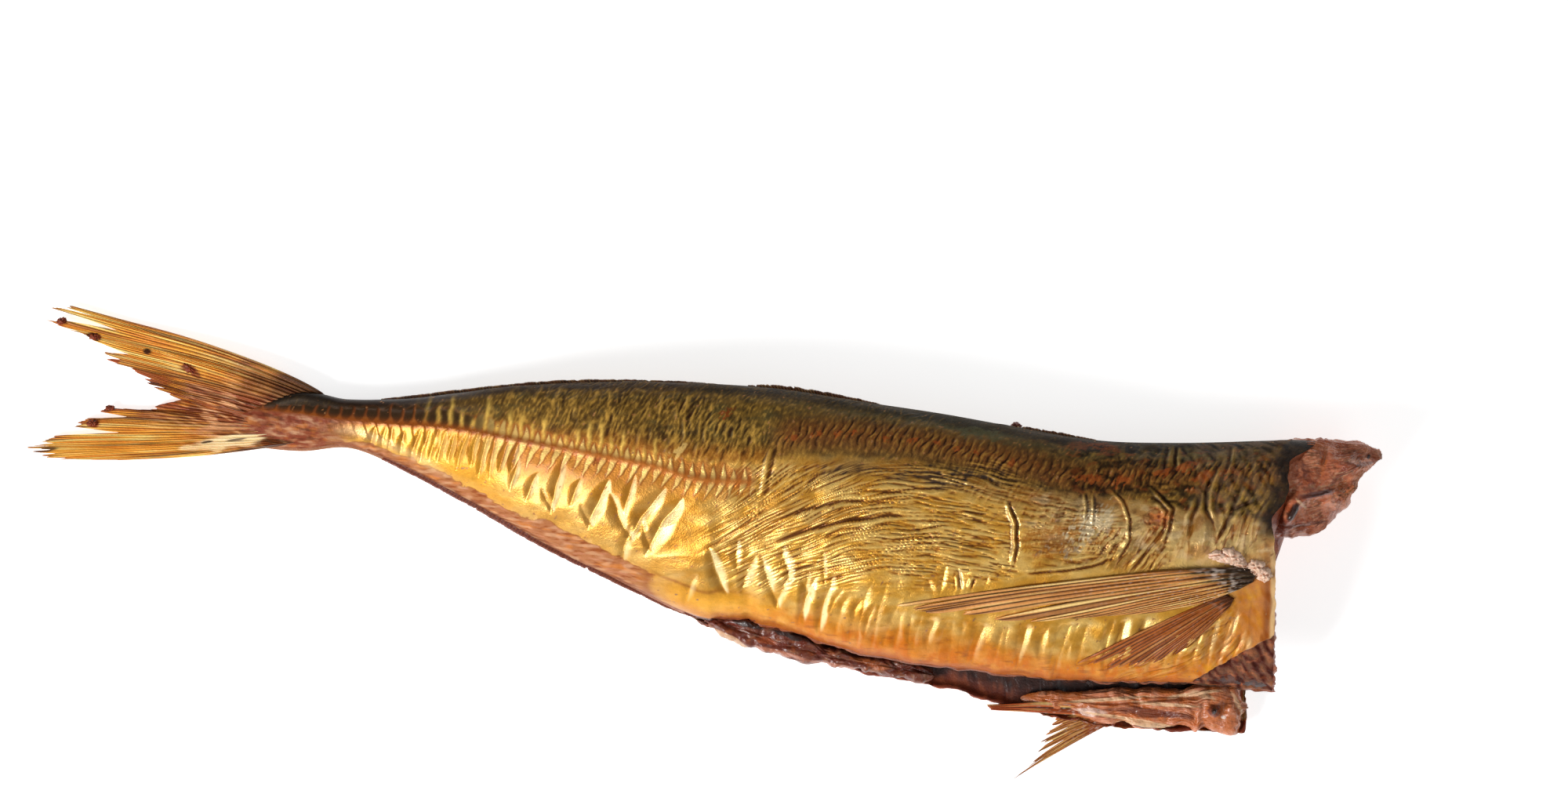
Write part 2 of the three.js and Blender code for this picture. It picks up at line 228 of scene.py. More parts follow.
class Wire:
    # One socket of a material, with the arithmetic that adds its Math nodes.
    def __init__(self, paint, socket):
        self.paint, self.socket = paint, socket

    def maths(self, operation, first, second):
        return self.paint.node("ShaderNodeMath", {"operation": operation}, {0: first, 1: second})["Value"]

    def cosine(self):
        return self.maths("COSINE", self, 0.0)

    def __add__(self, other):
        return self.maths("ADD", self, other)

    def __radd__(self, other):
        return self.maths("ADD", other, self)

    def __sub__(self, other):
        return self.maths("SUBTRACT", self, other)

    def __rsub__(self, other):
        return self.maths("SUBTRACT", other, self)

    def __mul__(self, other):
        return self.maths("MULTIPLY", self, other)

    def __rmul__(self, other):
        return self.maths("MULTIPLY", other, self)


class Paint:
    # A material: its nodes are added one by one, from a type, its settings and its sockets.
    def __init__(self, name):
        self.material = bpy.data.materials.new(name)
        self.material.use_nodes = True
        self.tree = self.material.node_tree
        self.shader = self.tree.nodes["Principled BSDF"]

    def plug(self, socket, value):
        if isinstance(value, Wire):
            self.tree.links.new(value.socket, socket)
        else:
            socket.default_value = value

    def node(self, kind, settings=None, sockets=None):
        made = self.tree.nodes.new(kind)
        for key, value in (settings or {}).items():
            setattr(made, key, value)
        for key, value in (sockets or {}).items():
            self.plug(made.inputs[key], value)
        return {out.name: Wire(self, out) for out in made.outputs if out.enabled}

    def surface(self, **sockets):
        for key, value in sockets.items():
            self.plug(self.shader.inputs[key.replace("_", " ")], value)

    def place(self):
        return self.node("ShaderNodeTexCoord")["Object"]

    def field(self, name):
        return self.node("ShaderNodeAttribute", {"attribute_name": name})["Color"]

    def parts(self, field):
        split = self.node("ShaderNodeSeparateColor", sockets={"Color": field})
        return split["Red"], split["Green"], split["Blue"]

    def speckle(self, scale, detail=3.0, roughness=0.6):  # noise from 0 to 1, scale per metre
        values = {"Vector": self.place(), "Scale": scale, "Detail": detail, "Roughness": roughness}
        return self.node("ShaderNodeTexNoise", {}, values)["Fac"]

    def mixed(self, share, first, second, kind="MIX"):  # colours
        made = self.tree.nodes.new("ShaderNodeMix")
        made.data_type, made.blend_type = "RGBA", kind
        for key, value in (("Factor_Float", share), ("A_Color", first), ("B_Color", second)):
            self.plug(next(s for s in made.inputs if s.identifier == key), value)
        return Wire(self, next(s for s in made.outputs if s.identifier == "Result_Color"))

    def bump(self, height, distance, strength=1.0):
        values = {"Height": height, "Distance": distance, "Strength": strength}
        return self.node("ShaderNodeBump", {}, values)["Normal"]


def grey(value):
    return (value, value, value, 1)


def rayLines(paint, settings):
    # Dark lines between the rays and fine joints along them: cosines of the rays field.
    length, across, _ = paint.parts(paint.field("rays"))
    stripe = 0.5 - 0.5 * (across * (20 * np.pi * settings["stripes"])).cosine()
    wander = paint.speckle(400.0, 1.0) * 4.0
    turn = length * (0.2 * np.pi / settings["jointPitch"]) + wander
    joint = 0.5 + 0.5 * turn.cosine()
    return 1.0 - (1.0 - stripe) * settings["stripeDark"] - joint * joint * settings["jointDark"]


def skinPaint(name, settings):
    # Colour comes from the tint field; the finish field holds metallic, roughness and grain.
    paint = Paint(name)
    metallic, roughness, grain = paint.parts(paint.field("finish"))
    asMetal = "metalCoat" in settings
    coat = metallic * settings["metalCoat"] + settings["coat"] if asMetal else settings["coat"]
    fine = paint.speckle(settings["fineScale"], 4.0, 0.65)
    pores = paint.speckle(settings["poreScale"], 2.0, 0.5)
    shade = paint.mixed(fine, grey(settings["darkest"]), grey(settings["lightest"]))
    if "stripes" in settings:
        lines = paint.mixed(rayLines(paint, settings), grey(0.0), grey(1.0))
        shade = paint.mixed(1.0, shade, lines, "MULTIPLY")
    paint.surface(
        Base_Color=paint.mixed(1.0, paint.field("tint"), shade, "MULTIPLY"),
        Metallic=metallic if asMetal else settings["metallic"],
        Roughness=roughness + (fine - 0.5) * settings["roughnessSpread"],
        Normal=paint.bump((fine * 0.6 + pores * 0.4) * grain, settings["bumpHeight"]),
        Specular_IOR_Level=settings["specular"],
        Coat_Weight=coat,
        Coat_Roughness=settings["coatRoughness"],
        Subsurface_Weight=settings["subsurface"],
        Subsurface_Scale=settings["subsurfaceDepth"],
        Subsurface_Radius=settings["subsurfaceReach"],
    )
    return paint.material


skinLook = {
    "fineScale": 700.0, "poreScale": 2400.0, "darkest": 0.76, "lightest": 1.18, "roughnessSpread": 0.2,
    "bumpHeight": 0.0002, "coat": 0.0, "metalCoat": 0.6, "coatRoughness": 0.2, "specular": 0.05,
    "subsurface": 0.0, "subsurfaceDepth": 0.004, "subsurfaceReach": (1.0, 0.45, 0.2),
}
fleshLook = {
    "fineScale": 700.0, "poreScale": 1800.0, "darkest": 0.6, "lightest": 1.3, "roughnessSpread": 0.25,
    "bumpHeight": 0.0003, "coat": 0.3, "metallic": 0.0, "coatRoughness": 0.22, "specular": 0.35,
    "subsurface": 0.08, "subsurfaceDepth": 0.004, "subsurfaceReach": (1.0, 0.45, 0.2),
}
finLook = {
    "fineScale": 1100.0, "poreScale": 3000.0, "darkest": 0.95, "lightest": 1.4, "roughnessSpread": 0.2,
    "bumpHeight": 0.0002, "coat": 0.1, "metallic": 0.05, "coatRoughness": 0.3, "specular": 0.2,
    "subsurface": 0.1, "subsurfaceDepth": 0.004, "subsurfaceReach": (1.0, 0.45, 0.2),
    "stripes": 4.0, "stripeDark": 0.35, "jointPitch": 0.0014, "jointDark": 0.05,
}
skinMaterial = skinPaint("smoked_skin", skinLook)
fleshMaterial = skinPaint("bare_flesh", fleshLook)
finMaterial = skinPaint("fin_ray", finLook)
print("materials made")


# the body's form, the same as the solid's
body = {
    "startX": -124.0, "nearFrontX": 146.0, "farFrontX": 138.0, "ventX": -4.0,
    "wall": 3.2, "rim": 1.8, "nearExtra": 0.7, "dorsalFullness": 0.78, "ventralFullness": 1.05,
    "backHeaviness": 0.16, "rows": 1100, "nearColumns": 331, "farColumns": 71, "slices": 4,
    "nearCavity": 14, "farCavity": 6, "fullReliefRise": 7, "farRelief": 0.7,
}
hollow = {"pastNeck": 6.0, "ventDepth": 0.08, "moreDepth": 0.86, "fullAt": 0.45, "closedAt": 0.45}
stationAt = through([
    # x, back, nearEdge, farEdge, ridge, nearZ, farZ, rise, drop
    (-124, 33.6, 27.6, 27.4, 2.4, 2.4, 2.2, 1.6, 1.2),
    (-112, 37, 25.4, 25.2, 3.2, 3, 2.8, 3, 2.2),
    (-102, 39.2, 24.6, 24.4, 4, 3.6, 3.4, 4, 3.2),
    (-90, 37, 25.4, 25.2, 5, 4.4, 4.2, 4.8, 4),
    (-78, 37.2, 20.8, 20.6, 6, 4.8, 4.6, 6, 5.2),
    (-60, 39, 11.6, 11.4, 8.6, 5.6, 5.4, 9, 8),
    (-40, 41, 0.2, 0, 11.6, 6.8, 6.4, 12.6, 10.8),
    (-20, 41.6, -9.6, -9.8, 14, 8, 6, 15.4, 12.6),
    (0, 41.2, -18.6, -19.6, 15.6, 8.6, 4.4, 17.2, 13.8),
    (20, 39.8, -21.6, -27, 16.4, 9.4, 3, 18.4, 14.4),
    (42, 36.4, -28, -32.4, 16.8, 10.4, 2.4, 19, 14.8),
    (62, 33.4, -31, -36.4, 16.8, 11.4, 2.4, 19, 14.8),
    (82, 29.8, -33.6, -42, 16.6, 12, 2.6, 18.6, 14.8),
    (102, 26.6, -35, -46, 16.4, 12.4, 3, 18, 14.6),
    (122, 26, -35.2, -47.4, 16.2, 12.4, 3.4, 17.2, 14.4),
    (146, 26.6, -37.4, -48.6, 16, 12, 3.6, 15.8, 14.2),
])


def edgesAt(x):
    # The stations, with the cut belly edges' own waves and the notch behind the vent.
    back, nearEdge, farEdge, ridge, nearZ, farZ, rise, drop = stationAt(x)
    cut = ramp(-2, 8, x)
    waves = 0.45 * noise(x / 7, x * 0, 3) + 0.22 * noise(x / 2.6, x * 0, 4)
    notch = 1.5 * ramp(2, 6, x) * fadeOut(12, 16, x)
    nearEdge = nearEdge + cut * waves + notch
    farEdge = farEdge + cut * (0.5 * noise(x / 6, x * 0, 5) + 0.3 * noise(x / 2.2, x * 0, 6))
    nearZ = nearZ + cut * 0.5 * noise(x / 8, x * 0, 7)
    return back, nearEdge, farEdge, ridge, nearZ, farZ, rise, drop


def bulge(side):
    # An ellipse's height to a power that is lower, and so blunter, towards the back.
    fullness = blend(body["ventralFullness"], body["dorsalFullness"], (side + 1) / 2)
    return np.maximum(0, 1 - side * side) ** (fullness / 2) * (1 + body["backHeaviness"] * side)


def nearFlank(x, side):  # straight from edge to back, plus the rise times the bulge
    back, nearEdge, _, ridge, nearZ, _, rise, _ = edgesAt(x)
    share = (side + 1) / 2
    y = blend(nearEdge, back, share)
    z = blend(nearZ, ridge, share) + rise * bulge(side)
    return stacked(x, y, z)


def farFlank(x, side):  # the same downwards, and flat where it meets the table
    back, _, farEdge, ridge, _, farZ, _, drop = edgesAt(x)
    share = (side + 1) / 2
    y = blend(farEdge, back, share)
    z = np.maximum(0, blend(farZ, ridge, share) - drop * bulge(side))
    return stacked(x, y, z)


def nearHeight(x, y):  # height of the near flank over a point seen from above
    back, nearEdge, *_ = edgesAt(x)
    side = np.clip(2 * (y - nearEdge) / (back - nearEdge) - 1, -1, 1)
    return nearFlank(x, side)[..., 2]


# relief of the skin, all in millimetres seen from above
lateral = {
    "line": [(-118, 34.6), (-102.6, 33.2), (-94.6, 32), (-82.6, 31.2), (-62.8, 29.7), (-43, 26.2),
             (-23.2, 22.4), (-10.6, 19.8), (-3.6, 17.6), (2, 16.6), (12.4, 16.2)],
    "from": -119.0, "to": 15.0, "firstPitch": 3.4, "lastPitch": 2.6,
    "rows": [  # x, height of the plates above the keel and below it, their lean above and below
        (-119, 1.4, 1.6, 0.25, -0.4), (-98, 2.8, 3.4, 0.25, -0.45), (-80, 4, 5.2, 0.18, -0.2),
        (-66, 4.4, 6.6, 0.15, 0.15), (-48, 3.8, 7, 0.12, 0.4), (-36, 3.2, 6.6, 0.1, 0.45),
        (-18, 3.6, 5.8, 0.1, 0.45), (4, 4.2, 4.8, 0.06, 0.42),
        (15, 3, 3.2, 0, 0.3)],
    "keel": 0.22, "keelWidth": 0.9, "plate": 0.13, "streak": 0.12, "tonguesTo": (-60, -44),
}
band = {
    "line": [(14, 24.5), (19, 27), (32, 28.6), (43.4, 27.8), (58.8, 25.8), (84.2, 20.4), (97.6, 16.8),
             (115.8, 18.6), (150, 19)],
    "pitch": 2.05, "lean": 0.8, "curve": 0.09, "half": 5.0, "depth": 0.32, "fadeIn": (16, 22),
}
lateralLine, bandLine = through(lateral["line"]), through(band["line"])
plateRows = through(lateral["rows"])


def plateCount(x, settings):  # plates passed up to x, where the pitch changes evenly with x
    growth = (settings["lastPitch"] - settings["firstPitch"]) / (settings["to"] - settings["from"])
    return np.log((settings["firstPitch"] + growth * (x - settings["from"]))
                  / settings["firstPitch"]) / growth


def plateRow(x, y):
    # Keeled plates: between two of them the count of plates passed is whole. At the rear they are
    # broad tongues; further on narrow spikes, widest at the keel. Each rises and ends in a step.
    off = y - lateralLine(x)[0]
    above = off > 0
    inside = ramp(lateral["from"], lateral["from"] + 6, x) * fadeOut(lateral["to"] - 3, lateral["to"], x)
    tallUp, tallDown, leanUp, leanDown = plateRows(x)
    tall = np.where(above, tallUp, tallDown) * (1 + 0.3 * noise(x / 2.9, off * 0, 8))
    lean = np.where(above, leanUp, leanDown)
    passed = x + 0.35 * noise(x / 3.1, off / 2.4, 9) - lean * off
    count = plateCount(np.clip(passed, lateral["from"] - 3, lateral["to"] + 3), lateral)
    phase = count - np.floor(count)
    reach = np.abs(off) / tall
    rear = fadeOut(*lateral["tonguesTo"], x)
    tongue = 0.88 - 0.45 * fadeOut(0, 0.5, reach) * above
    pointed = 0.78 * np.clip(1 - reach, 0, 1)
    edge = blend(pointed, tongue, rear) / 2 - np.abs(phase - 0.5)
    row = fadeOut(0.85, 1.15, reach) * inside
    spike = ramp(-0.06, 0.08, edge) * row
    outline = bell(edge, -0.03, 0.08) * row
    # pale streaks run on up the back from some of the gaps
    gap = np.minimum(phase, 1 - phase)
    streakEnd = 4 + 9 * np.clip(0.35 + noise(np.round(count) * 3.7, count * 0, 14), 0, 1)
    streak = above * bell(gap, 0, 0.17) * fadeOut(0.5, 1, off / streakEnd) * ramp(-74, -62, x)
    streak = streak * fadeOut(-14, -4, x)
    keel = bell(off, 0, lateral["keelWidth"]) * inside * (0.85 + 0.2 * np.cos(2 * np.pi * count))
    height = lateral["plate"] * spike * (0.6 + 1.3 * (phase - 0.5))
    height = height + lateral["keel"] * keel + lateral["streak"] * streak
    marks = {"spike": spike, "outline": outline, "keel": keel, "row": row, "off": off, "phase": phase,
             "streak": streak}
    return height, marks


def bandStrokes(x, y):
    # Slanting scale rows: ridges with a sharp groove between them, in a curved band.
    off = y - bandLine(x)[0]
    inside = ramp(*band["fadeIn"], x) * fadeOut(-1.0, 0.12, np.abs(off) / band["half"] - 1)
    bent = band["lean"] * off - band["curve"] * off * np.abs(off)
    count = (x - bent + 0.8 * noise(x / 4, y / 3, 21)) / band["pitch"]
    wave = np.abs(2 * (count - np.floor(count)) - 1)
    groove = ramp(0.55, 0.95, wave) * inside * (0.6 + 0.5 * noise(x / 3, y / 2, 22))
    crescent = bell(count - np.floor(count), 0.34, 0.14) * inside
    marks = {"groove": np.clip(groove, 0, 1), "inside": inside, "off": off, "crescent": crescent}
    return band["depth"] * (0.5 * inside - groove), marks


# Dents of the crumpled skin: top x and y, bottom x and y of the right-hand wall's middle line,
# the wall's width and the depth.
dents = [
    (-46.1, 21.1, -48.1, 14.4, 1.1, 0.55), (-41.4, 17.6, -44, 11.8, 1.2, 0.6),
    (-34.5, 21.1, -37.5, 9.4, 1.4, 0.85), (-40.1, 13.8, -37.5, 9.2, 1.0, 0.5),
    (-30.4, 16.2, -32.6, 10.6, 1.2, 0.55), (-23.3, 15.2, -27.7, 5.2, 1.9, 1.05),
    (-30, 10, -27.6, 5.2, 1.0, 0.45), (-22.1, 12, -17.7, 2.4, 1.9, 0.95),
    (-17.6, 3.8, -20.1, -5, 1.5, 0.55), (-9.6, 13, -17.1, 2.2, 2.1, 1.15),
    (-16.6, 16.8, -18.9, 8.8, 1.2, 0.6), (-5.2, 10.2, -12.8, -1.4, 2.3, 1.2),
    (-14.2, 5.2, -12.6, -1, 1.0, 0.45), (3, -1.8, 6.5, -11.6, 1.8, 0.85),
    (13.9, -3.6, 11.3, -11.6, 1.8, 0.8), (9.7, 0.8, 9.6, -6, 1.2, 0.45),
    (16.3, -4.4, 19.8, -14.8, 1.6, 0.7), (21.6, -1, 23.2, -8.6, 1.8, 0.65),
    (23.2, -7.6, 19.8, -15, 1.5, 0.7), (31.6, -2, 31.8, -9.2, 0.7, 0.3), (26.4, -9, 29, -14, 1.4, 0.4),
    (36, -12, 33.4, -17, 1.4, 0.45), (41.4, -14, 38.8, -18, 1.3, 0.35), (62.6, -5.6, 61.2, -13, 0.9, 0.45),
    (65.6, -6.4, 66.4, -13.4, 0.9, 0.5), (58, -9, 60.4, -12.6, 1.1, 0.4),
    (73.4, -7.6, 71.4, -13.4, 0.8, 0.45), (-1, -8, -3.6, -14.6, 1.4, 0.4), (-28, 1, -31.4, -3.6, 1.6, 0.3),
    (-42, 7, -45, 2, 1.4, 0.3),
]
bellyFolds = {"from": 26.0, "to": 139.0, "count": 46, "jitter": 1.3, "top": (12, 20), "low": (2, 6),
              "lean": (0.1, 0.4), "half": (1.2, 2.0), "depth": (0.3, 0.68), "reach": 12, "seed": 31}
combFolds = {"from": -84.0, "to": -47.0, "count": 15, "jitter": 0.5, "top": (-2.4, -1.2), "low": (-11, -7),
             "lean": (0.15, 0.4), "half": (0.8, 1.2), "depth": (0.4, 0.75), "reach": 12, "seed": 33}
# Long grooves that arch over the flank: where they fade in and out, the arch's own slopes and their size.
fan = {"left": (-3, 16), "right": (76, 83), "low": (-15, -5), "high": (17, 23), "middle": 50.0,
       "rise": 0.012, "fall": 0.006, "pitch": 1.0, "long": 12.0, "depth": 0.31}
# Creases: points along, width, height; the skin dips on their right-hand side.
creases = [
    ([(77.4, 11.4), (79.6, 5.4), (79.8, 0), (78.8, -4.6)], 0.45, 0.8),
    ([(99, 13.2), (99.6, 9), (99.4, 4.6)], 0.3, 0.4),
    ([(97.4, 13.6), (98, 9.4), (97.6, 6)], 0.35, 0.4),
    ([(104, 14.4), (106.8, 11), (108.6, 6.4), (108.4, 1.8), (104, -6.4)], 0.35, 0.42),
    ([(113.8, 14.6), (119.4, 9.2), (118.4, 5.4), (116.6, 0)], 0.45, 0.7),
    ([(115, 11.6), (117.8, 8.6), (117.2, 4.6), (113, -1.4), (108.4, -6)], 0.5, 0.6),
    ([(130.8, 18.8), (128.4, 13.8), (128.2, 9.2), (129.8, 6)], 0.6, -0.85),
    ([(141.4, 11.8), (135.4, 9.2), (133, 4.6), (131, 1)], 0.6, -0.9),
    ([(121.2, 25.2), (120.8, 22.4), (121, 19.6)], 0.5, -0.6),
    ([(135, 25.6), (134.4, 21.4), (133.6, 18.4)], 0.6, -0.5),
    ([(126, 12.6), (123.6, 7), (123, 1.4)], 0.7, 0.55),
    ([(65, -7), (65.4, -11), (64, -13.8)], 0.4, 0.5),
    ([(69, -7.8), (67.6, -13.4)], 0.45, 0.5),
    ([(17, -0.4), (28, 4.2), (38, 6.4), (48, 7.8), (53.4, 8)], 0.6, -0.5),
    ([(21, 7), (28, 9.6), (38, 11.4), (45, 11)], 0.5, -0.28),
    ([(-0.8, -2.2), (6, 1.6), (14.4, 7.6), (18, 10.6)], 0.6, -0.18),
    ([(18.6, 26), (17, 20), (15.4, 12)], 0.7, 0.5),
    ([(81, -6.4), (90, -5.8), (99, -4.6), (107, -1.6)], 0.45, 0.4),
    ([(88, -9), (99, -8.4), (108, -6.6)], 0.4, 0.3),
]
# Patches of fine wrinkles: middle, half size, turn in degrees, pitch, depth, bend, stretch.
patches = [
    ((40, -2), (46, 22), 5, 9.0, 0.22, 0.0, 2.4),
    ((100, -6), (26, 34), 60, 8.0, 0.28, 0.0, 2.0),
    ((-10, 33), (9, 50), 68, 1.7, 0.13, 0.0, 3.6),
    ((60, 25), (8, 50), 62, 1.9, 0.12, 0.0, 3.2),
    ((-6, 1), (20, 12), 40, 7.0, 0.22, 0.0, 2.5),
    ((94, 3), (15, 8), -2, 1.0, -0.26, -0.004, 12),
    ((86, 12.6), (14, 3), -18, 1.2, 0.2, 0.0, 8),
    ((118, 8), (4, 16), -4, 2.6, -0.2, 0.0, 3),
    ((128, 10), (13, 12), 80, 3.3, -0.48, 0.004, 5),
    ((139, 10), (11, 8), 66, 3.0, -0.42, 0.0, 4.5),
    ((124, 22), (6, 22), 84, 3.0, -0.28, 0.0, 3),
    ((104, 0), (5, 6), 55, 1.4, -0.25, 0.0, 8),
    ((113, -3), (7, 4.6), 52, 1.4, -0.32, 0.0, 9),
    ((120, -26), (18, 7), 32, 2.1, -0.2, 0.0, 6),
    ((134, -24), (8, 8), 60, 2.4, -0.2, 0.0, 4),
    ((2, 30), (7, 16), 68, 2.4, 0.3, 0.0, 3.2),
    ((-28, 32), (6, 18), 72, 2.6, 0.22, 0.0, 3),
]


def dentField(x, y, dent):
    # A trough along a line that tapers to both ends, its walls steep at the bottom and easing out.
    topX, topY, lowX, lowY, half, depth = dent
    dx, dy = lowX - topX, lowY - topY
    length = np.hypot(dx, dy)
    along = ((x - topX) * dx + (y - topY) * dy) / length**2
    across = ((y - topY) * dx - (x - topX) * dy) / length + 0.2 * half * noise(y / 4, x / 9, topX)
    taper = np.sin(np.pi * np.clip((along + 0.15) / 1.3, 0, 1)) ** 0.8
    reach = across / (half * (0.15 + 0.85 * taper)) + 0.4
    wall = np.maximum(0, 1 - np.where(reach > 0, reach / 1.6, -reach / 1.7)) ** 1.6
    return -0.95 * depth * taper * wall


def creaseField(x, y, points, width, height):
    # Distance to a polyline, swayed by noise: a Gaussian ridge over it and a shallower dip to its right.
    x = x + 0.45 * noise(y / 6.5, x / 14, points[0][0])
    y = y + 0.25 * noise(x / 7, y / 12, points[0][1])
    best = np.full(x.shape, 1e9)
    signed, place = np.zeros(x.shape), np.zeros(x.shape)
    spans = len(points) - 1
    for i, ((ax, ay), (bx, by)) in enumerate(zip(points[:-1], points[1:])):
        dx, dy = bx - ax, by - ay
        share = np.clip(((x - ax) * dx + (y - ay) * dy) / (dx * dx + dy * dy), 0, 1)
        offX, offY = x - ax - share * dx, y - ay - share * dy
        away = np.hypot(offX, offY)
        closer = away < best
        best = np.where(closer, away, best)
        signed = np.where(closer, away * np.sign(offX * dy - offY * dx), signed)
        place = np.where(closer, (i + share) / spans, place)
    ease = ramp(0, 0.2, place) * fadeOut(0.75, 1, place) * 0.85 + 0.15
    dip = 0.6 * bell(-np.sign(points[-1][1] - points[0][1] + tiny) * signed, -1.7 * width, width)
    return height * ease * (bell(signed, 0, width) - dip) * (best < 6 * width)


def wrinkleField(x, y, arc, patch):
    # Ridged noise stretched along a turned axis, swayed a little and faded towards the patch's rim.
    (midX, midY), (long, wide), turn, pitch, depth, bend, stretch = patch
    c, s = np.cos(np.radians(turn)), np.sin(np.radians(turn))
    along = (x - midX) * c + (y - midY) * s
    across = (y - midY) * c - (x - midX) * s + bend * along * along
    fade = np.exp(-((along / long) ** 2 + (across / wide) ** 2) ** 2)
    along, across = along + (arc - y) * s, across + (arc - y) * c
    sway = 0.5 * pitch * noise(along / (4 * pitch), across / (4 * pitch), midX)
    lines = 1 - 2.2 * np.abs(noise(along / (stretch * pitch), (across + sway) / pitch, midX + 1))
    if pitch < 3:
        lines += 0.45 - 1.0 * np.abs(noise(1.9 * along / (stretch * pitch), 2.1 * (across + sway) / pitch,
                                           midX + 2))
    return depth * fade * lines


def foldRow(x, y, settings, guide):
    # Short leaning folds of random length and depth, side by side along a guide line.
    draw = np.random.default_rng(settings["seed"])
    height = np.zeros(x.shape)
    for at in np.linspace(settings["from"], settings["to"], settings["count"]):
        at = at + draw.uniform(-1, 1) * settings["jitter"]
        base = float(guide(np.array(at)))
        half, depth = draw.uniform(*settings["half"]), draw.uniform(*settings["depth"])
        top, low = base + draw.uniform(*settings["top"]), base + draw.uniform(*settings["low"])
        lean = draw.uniform(*settings["lean"]) * (top - low)
        near = np.abs(x - at) < settings["reach"]
        height[near] += dentField(x[near], y[near], (at + lean / 2, top, at - lean / 2, low, half, depth))
    return height


def fanField(x, y):
    # Thin grooves where a stretched noise crosses 0, along arches y = c + k arch(x), k growing upwards.
    side = x - fan["middle"]
    arch = -np.where(side < 0, fan["rise"], fan["fall"]) * side**2
    level = y - arch * blend(0.6, 1, ramp(-10, 16, y))
    swayed = (level + 0.9 * noise(x / 12, level / 5, 301)) / fan["pitch"]
    lines = 1.4 - 2.4 * np.abs(noise(x / fan["long"], swayed, 302))
    lines = lines - 1.2 * np.abs(noise(x / 5, 1.9 * swayed, 303))
    shown = ramp(*fan["left"], x) * fadeOut(*fan["right"], x)
    shown = shown * ramp(*fan["low"], y) * fadeOut(*fan["high"], y)
    uneven = np.clip(0.75 + 0.8 * cloud(x / 14, level / 6, 304) + 0.1 * ramp(8, 16, y), 0.15, 1.4)
    return -fan["depth"] * lines * shown * uneven


# where the side fin lies, so that the skin is calm under it: x, top, bottom
finBed = through([(46, -14.6, -15.6), (60, -12.6, -17.8), (80, -9.6, -19.6), (100, -8.2, -18.6),
                  (120, -6.8, -16.8), (138, -4.6, -12.6)])


def arcPlace(base):
    # y counted along the surface: the arc length across the grid from its middle column, so that
    # patterns keep their size where the skin turns away at back and belly.
    steps = np.hypot(np.diff(base[..., 1], axis=1), np.diff(base[..., 2], axis=1))
    arc = np.concatenate([np.zeros((len(base), 1)), np.cumsum(steps, axis=1)], axis=1)
    middle = base.shape[1] // 2
    way = np.sign(base[0, -1, 1] - base[0, 0, 1])
    return base[:, middle:middle + 1, 1] + way * (arc - arc[:, middle:middle + 1])


def skinRelief(x, y, arc):
    # The height of everything on the skin, and the marks that the colours go by.
    plates, plateMarks = plateRow(x, y)
    strokes, strokeMarks = bandStrokes(x, y)
    broad = 0.4 * noise(x / 14, arc / 9, 41) + 0.1 * noise(x / 5, arc / 4, 42)
    folds = foldRow(x, y, bellyFolds, lambda at: stationAt(at)[1])
    folds = folds + foldRow(x, y, combFolds, lambda at: lateralLine(at)[0])
    for dent in dents:
        reach = 4 * dent[4] + 2
        near = np.abs(x - (dent[0] + dent[2]) / 2) < reach + 4
        near = near & (y < dent[1] + reach) & (y > dent[3] - reach)
        folds[near] += dentField(x[near], y[near], dent)
    fine = fanField(x, y)
    for points, width, height in creases:
        xs, ys = [p[0] for p in points], [p[1] for p in points]
        near = (x > min(xs) - 5) & (x < max(xs) + 5) & (y > min(ys) - 5) & (y < max(ys) + 5)
        fine[near] += creaseField(x[near], y[near], points, width, height)
    for patch in patches:
        reach = 1.7 * max(patch[1])
        near = (np.abs(x - patch[0][0]) < reach) & (np.abs(y - patch[0][1]) < reach)
        fine[near] += wrinkleField(x[near], y[near], arc[near], patch)
    top, bottom = finBed(x)
    calm = ramp(bottom - 2, bottom, y) * fadeOut(top, top + 2, y)
    calm = calm * ramp(46, 54, x) * fadeOut(134, 138, x)
    calm = np.maximum(calm, ramp(134, 139, x + 0.2 * (y + 10)) * fadeOut(-10, -2, y) * ramp(-36, -28, y))
    folds, fine, broad = folds * (1 - 0.85 * calm), fine * (1 - 0.9 * calm), broad * (1 - 0.2 * calm)
    marks = {**plateMarks, "stroke": strokeMarks["groove"], "band": strokeMarks["inside"],
             "bandOff": strokeMarks["off"], "crescent": strokeMarks["crescent"], "fine": fine,
             "folds": folds}
    return broad + plates + strokes + folds + fine, marks


gold = palette({
    "pale": (246, 208, 124), "mid": (222, 162, 58), "deep": (172, 102, 28),
    "amber": (196, 102, 14), "rust": (136, 66, 26), "rim": (160, 80, 32),
    "brown": (78, 40, 18), "sun": (236, 168, 44), "wheat": (214, 182, 122),
    "keel": (204, 122, 50), "straw": (240, 206, 150), "cream": (255, 230, 166),
    "shade": (160, 106, 34), "ridge": (136, 70, 22),
})
back = palette({
    "olive": (122, 92, 38), "dark": (52, 38, 22), "black": (24, 15, 10),
    "band": (118, 66, 34), "teal": (86, 84, 56), "fleck": (216, 166, 74),
    "orange": (170, 82, 32), "slate": (54, 46, 42), "moss": (78, 74, 44),
    "silver": (228, 208, 168), "gilt": (236, 192, 92),
})
bare = palette({
    "pink": (190, 124, 96), "strip": (160, 102, 74), "red": (128, 58, 38),
    "purple": (84, 36, 27), "dark": (34, 15, 10), "cream": (228, 184, 142),
    "flesh": (178, 94, 58), "orange": (190, 104, 52), "white": (246, 228, 214),
    "belly": (162, 100, 66), "rose": (206, 128, 92), "wine": (104, 44, 30), "brown": (112, 58, 38),
})
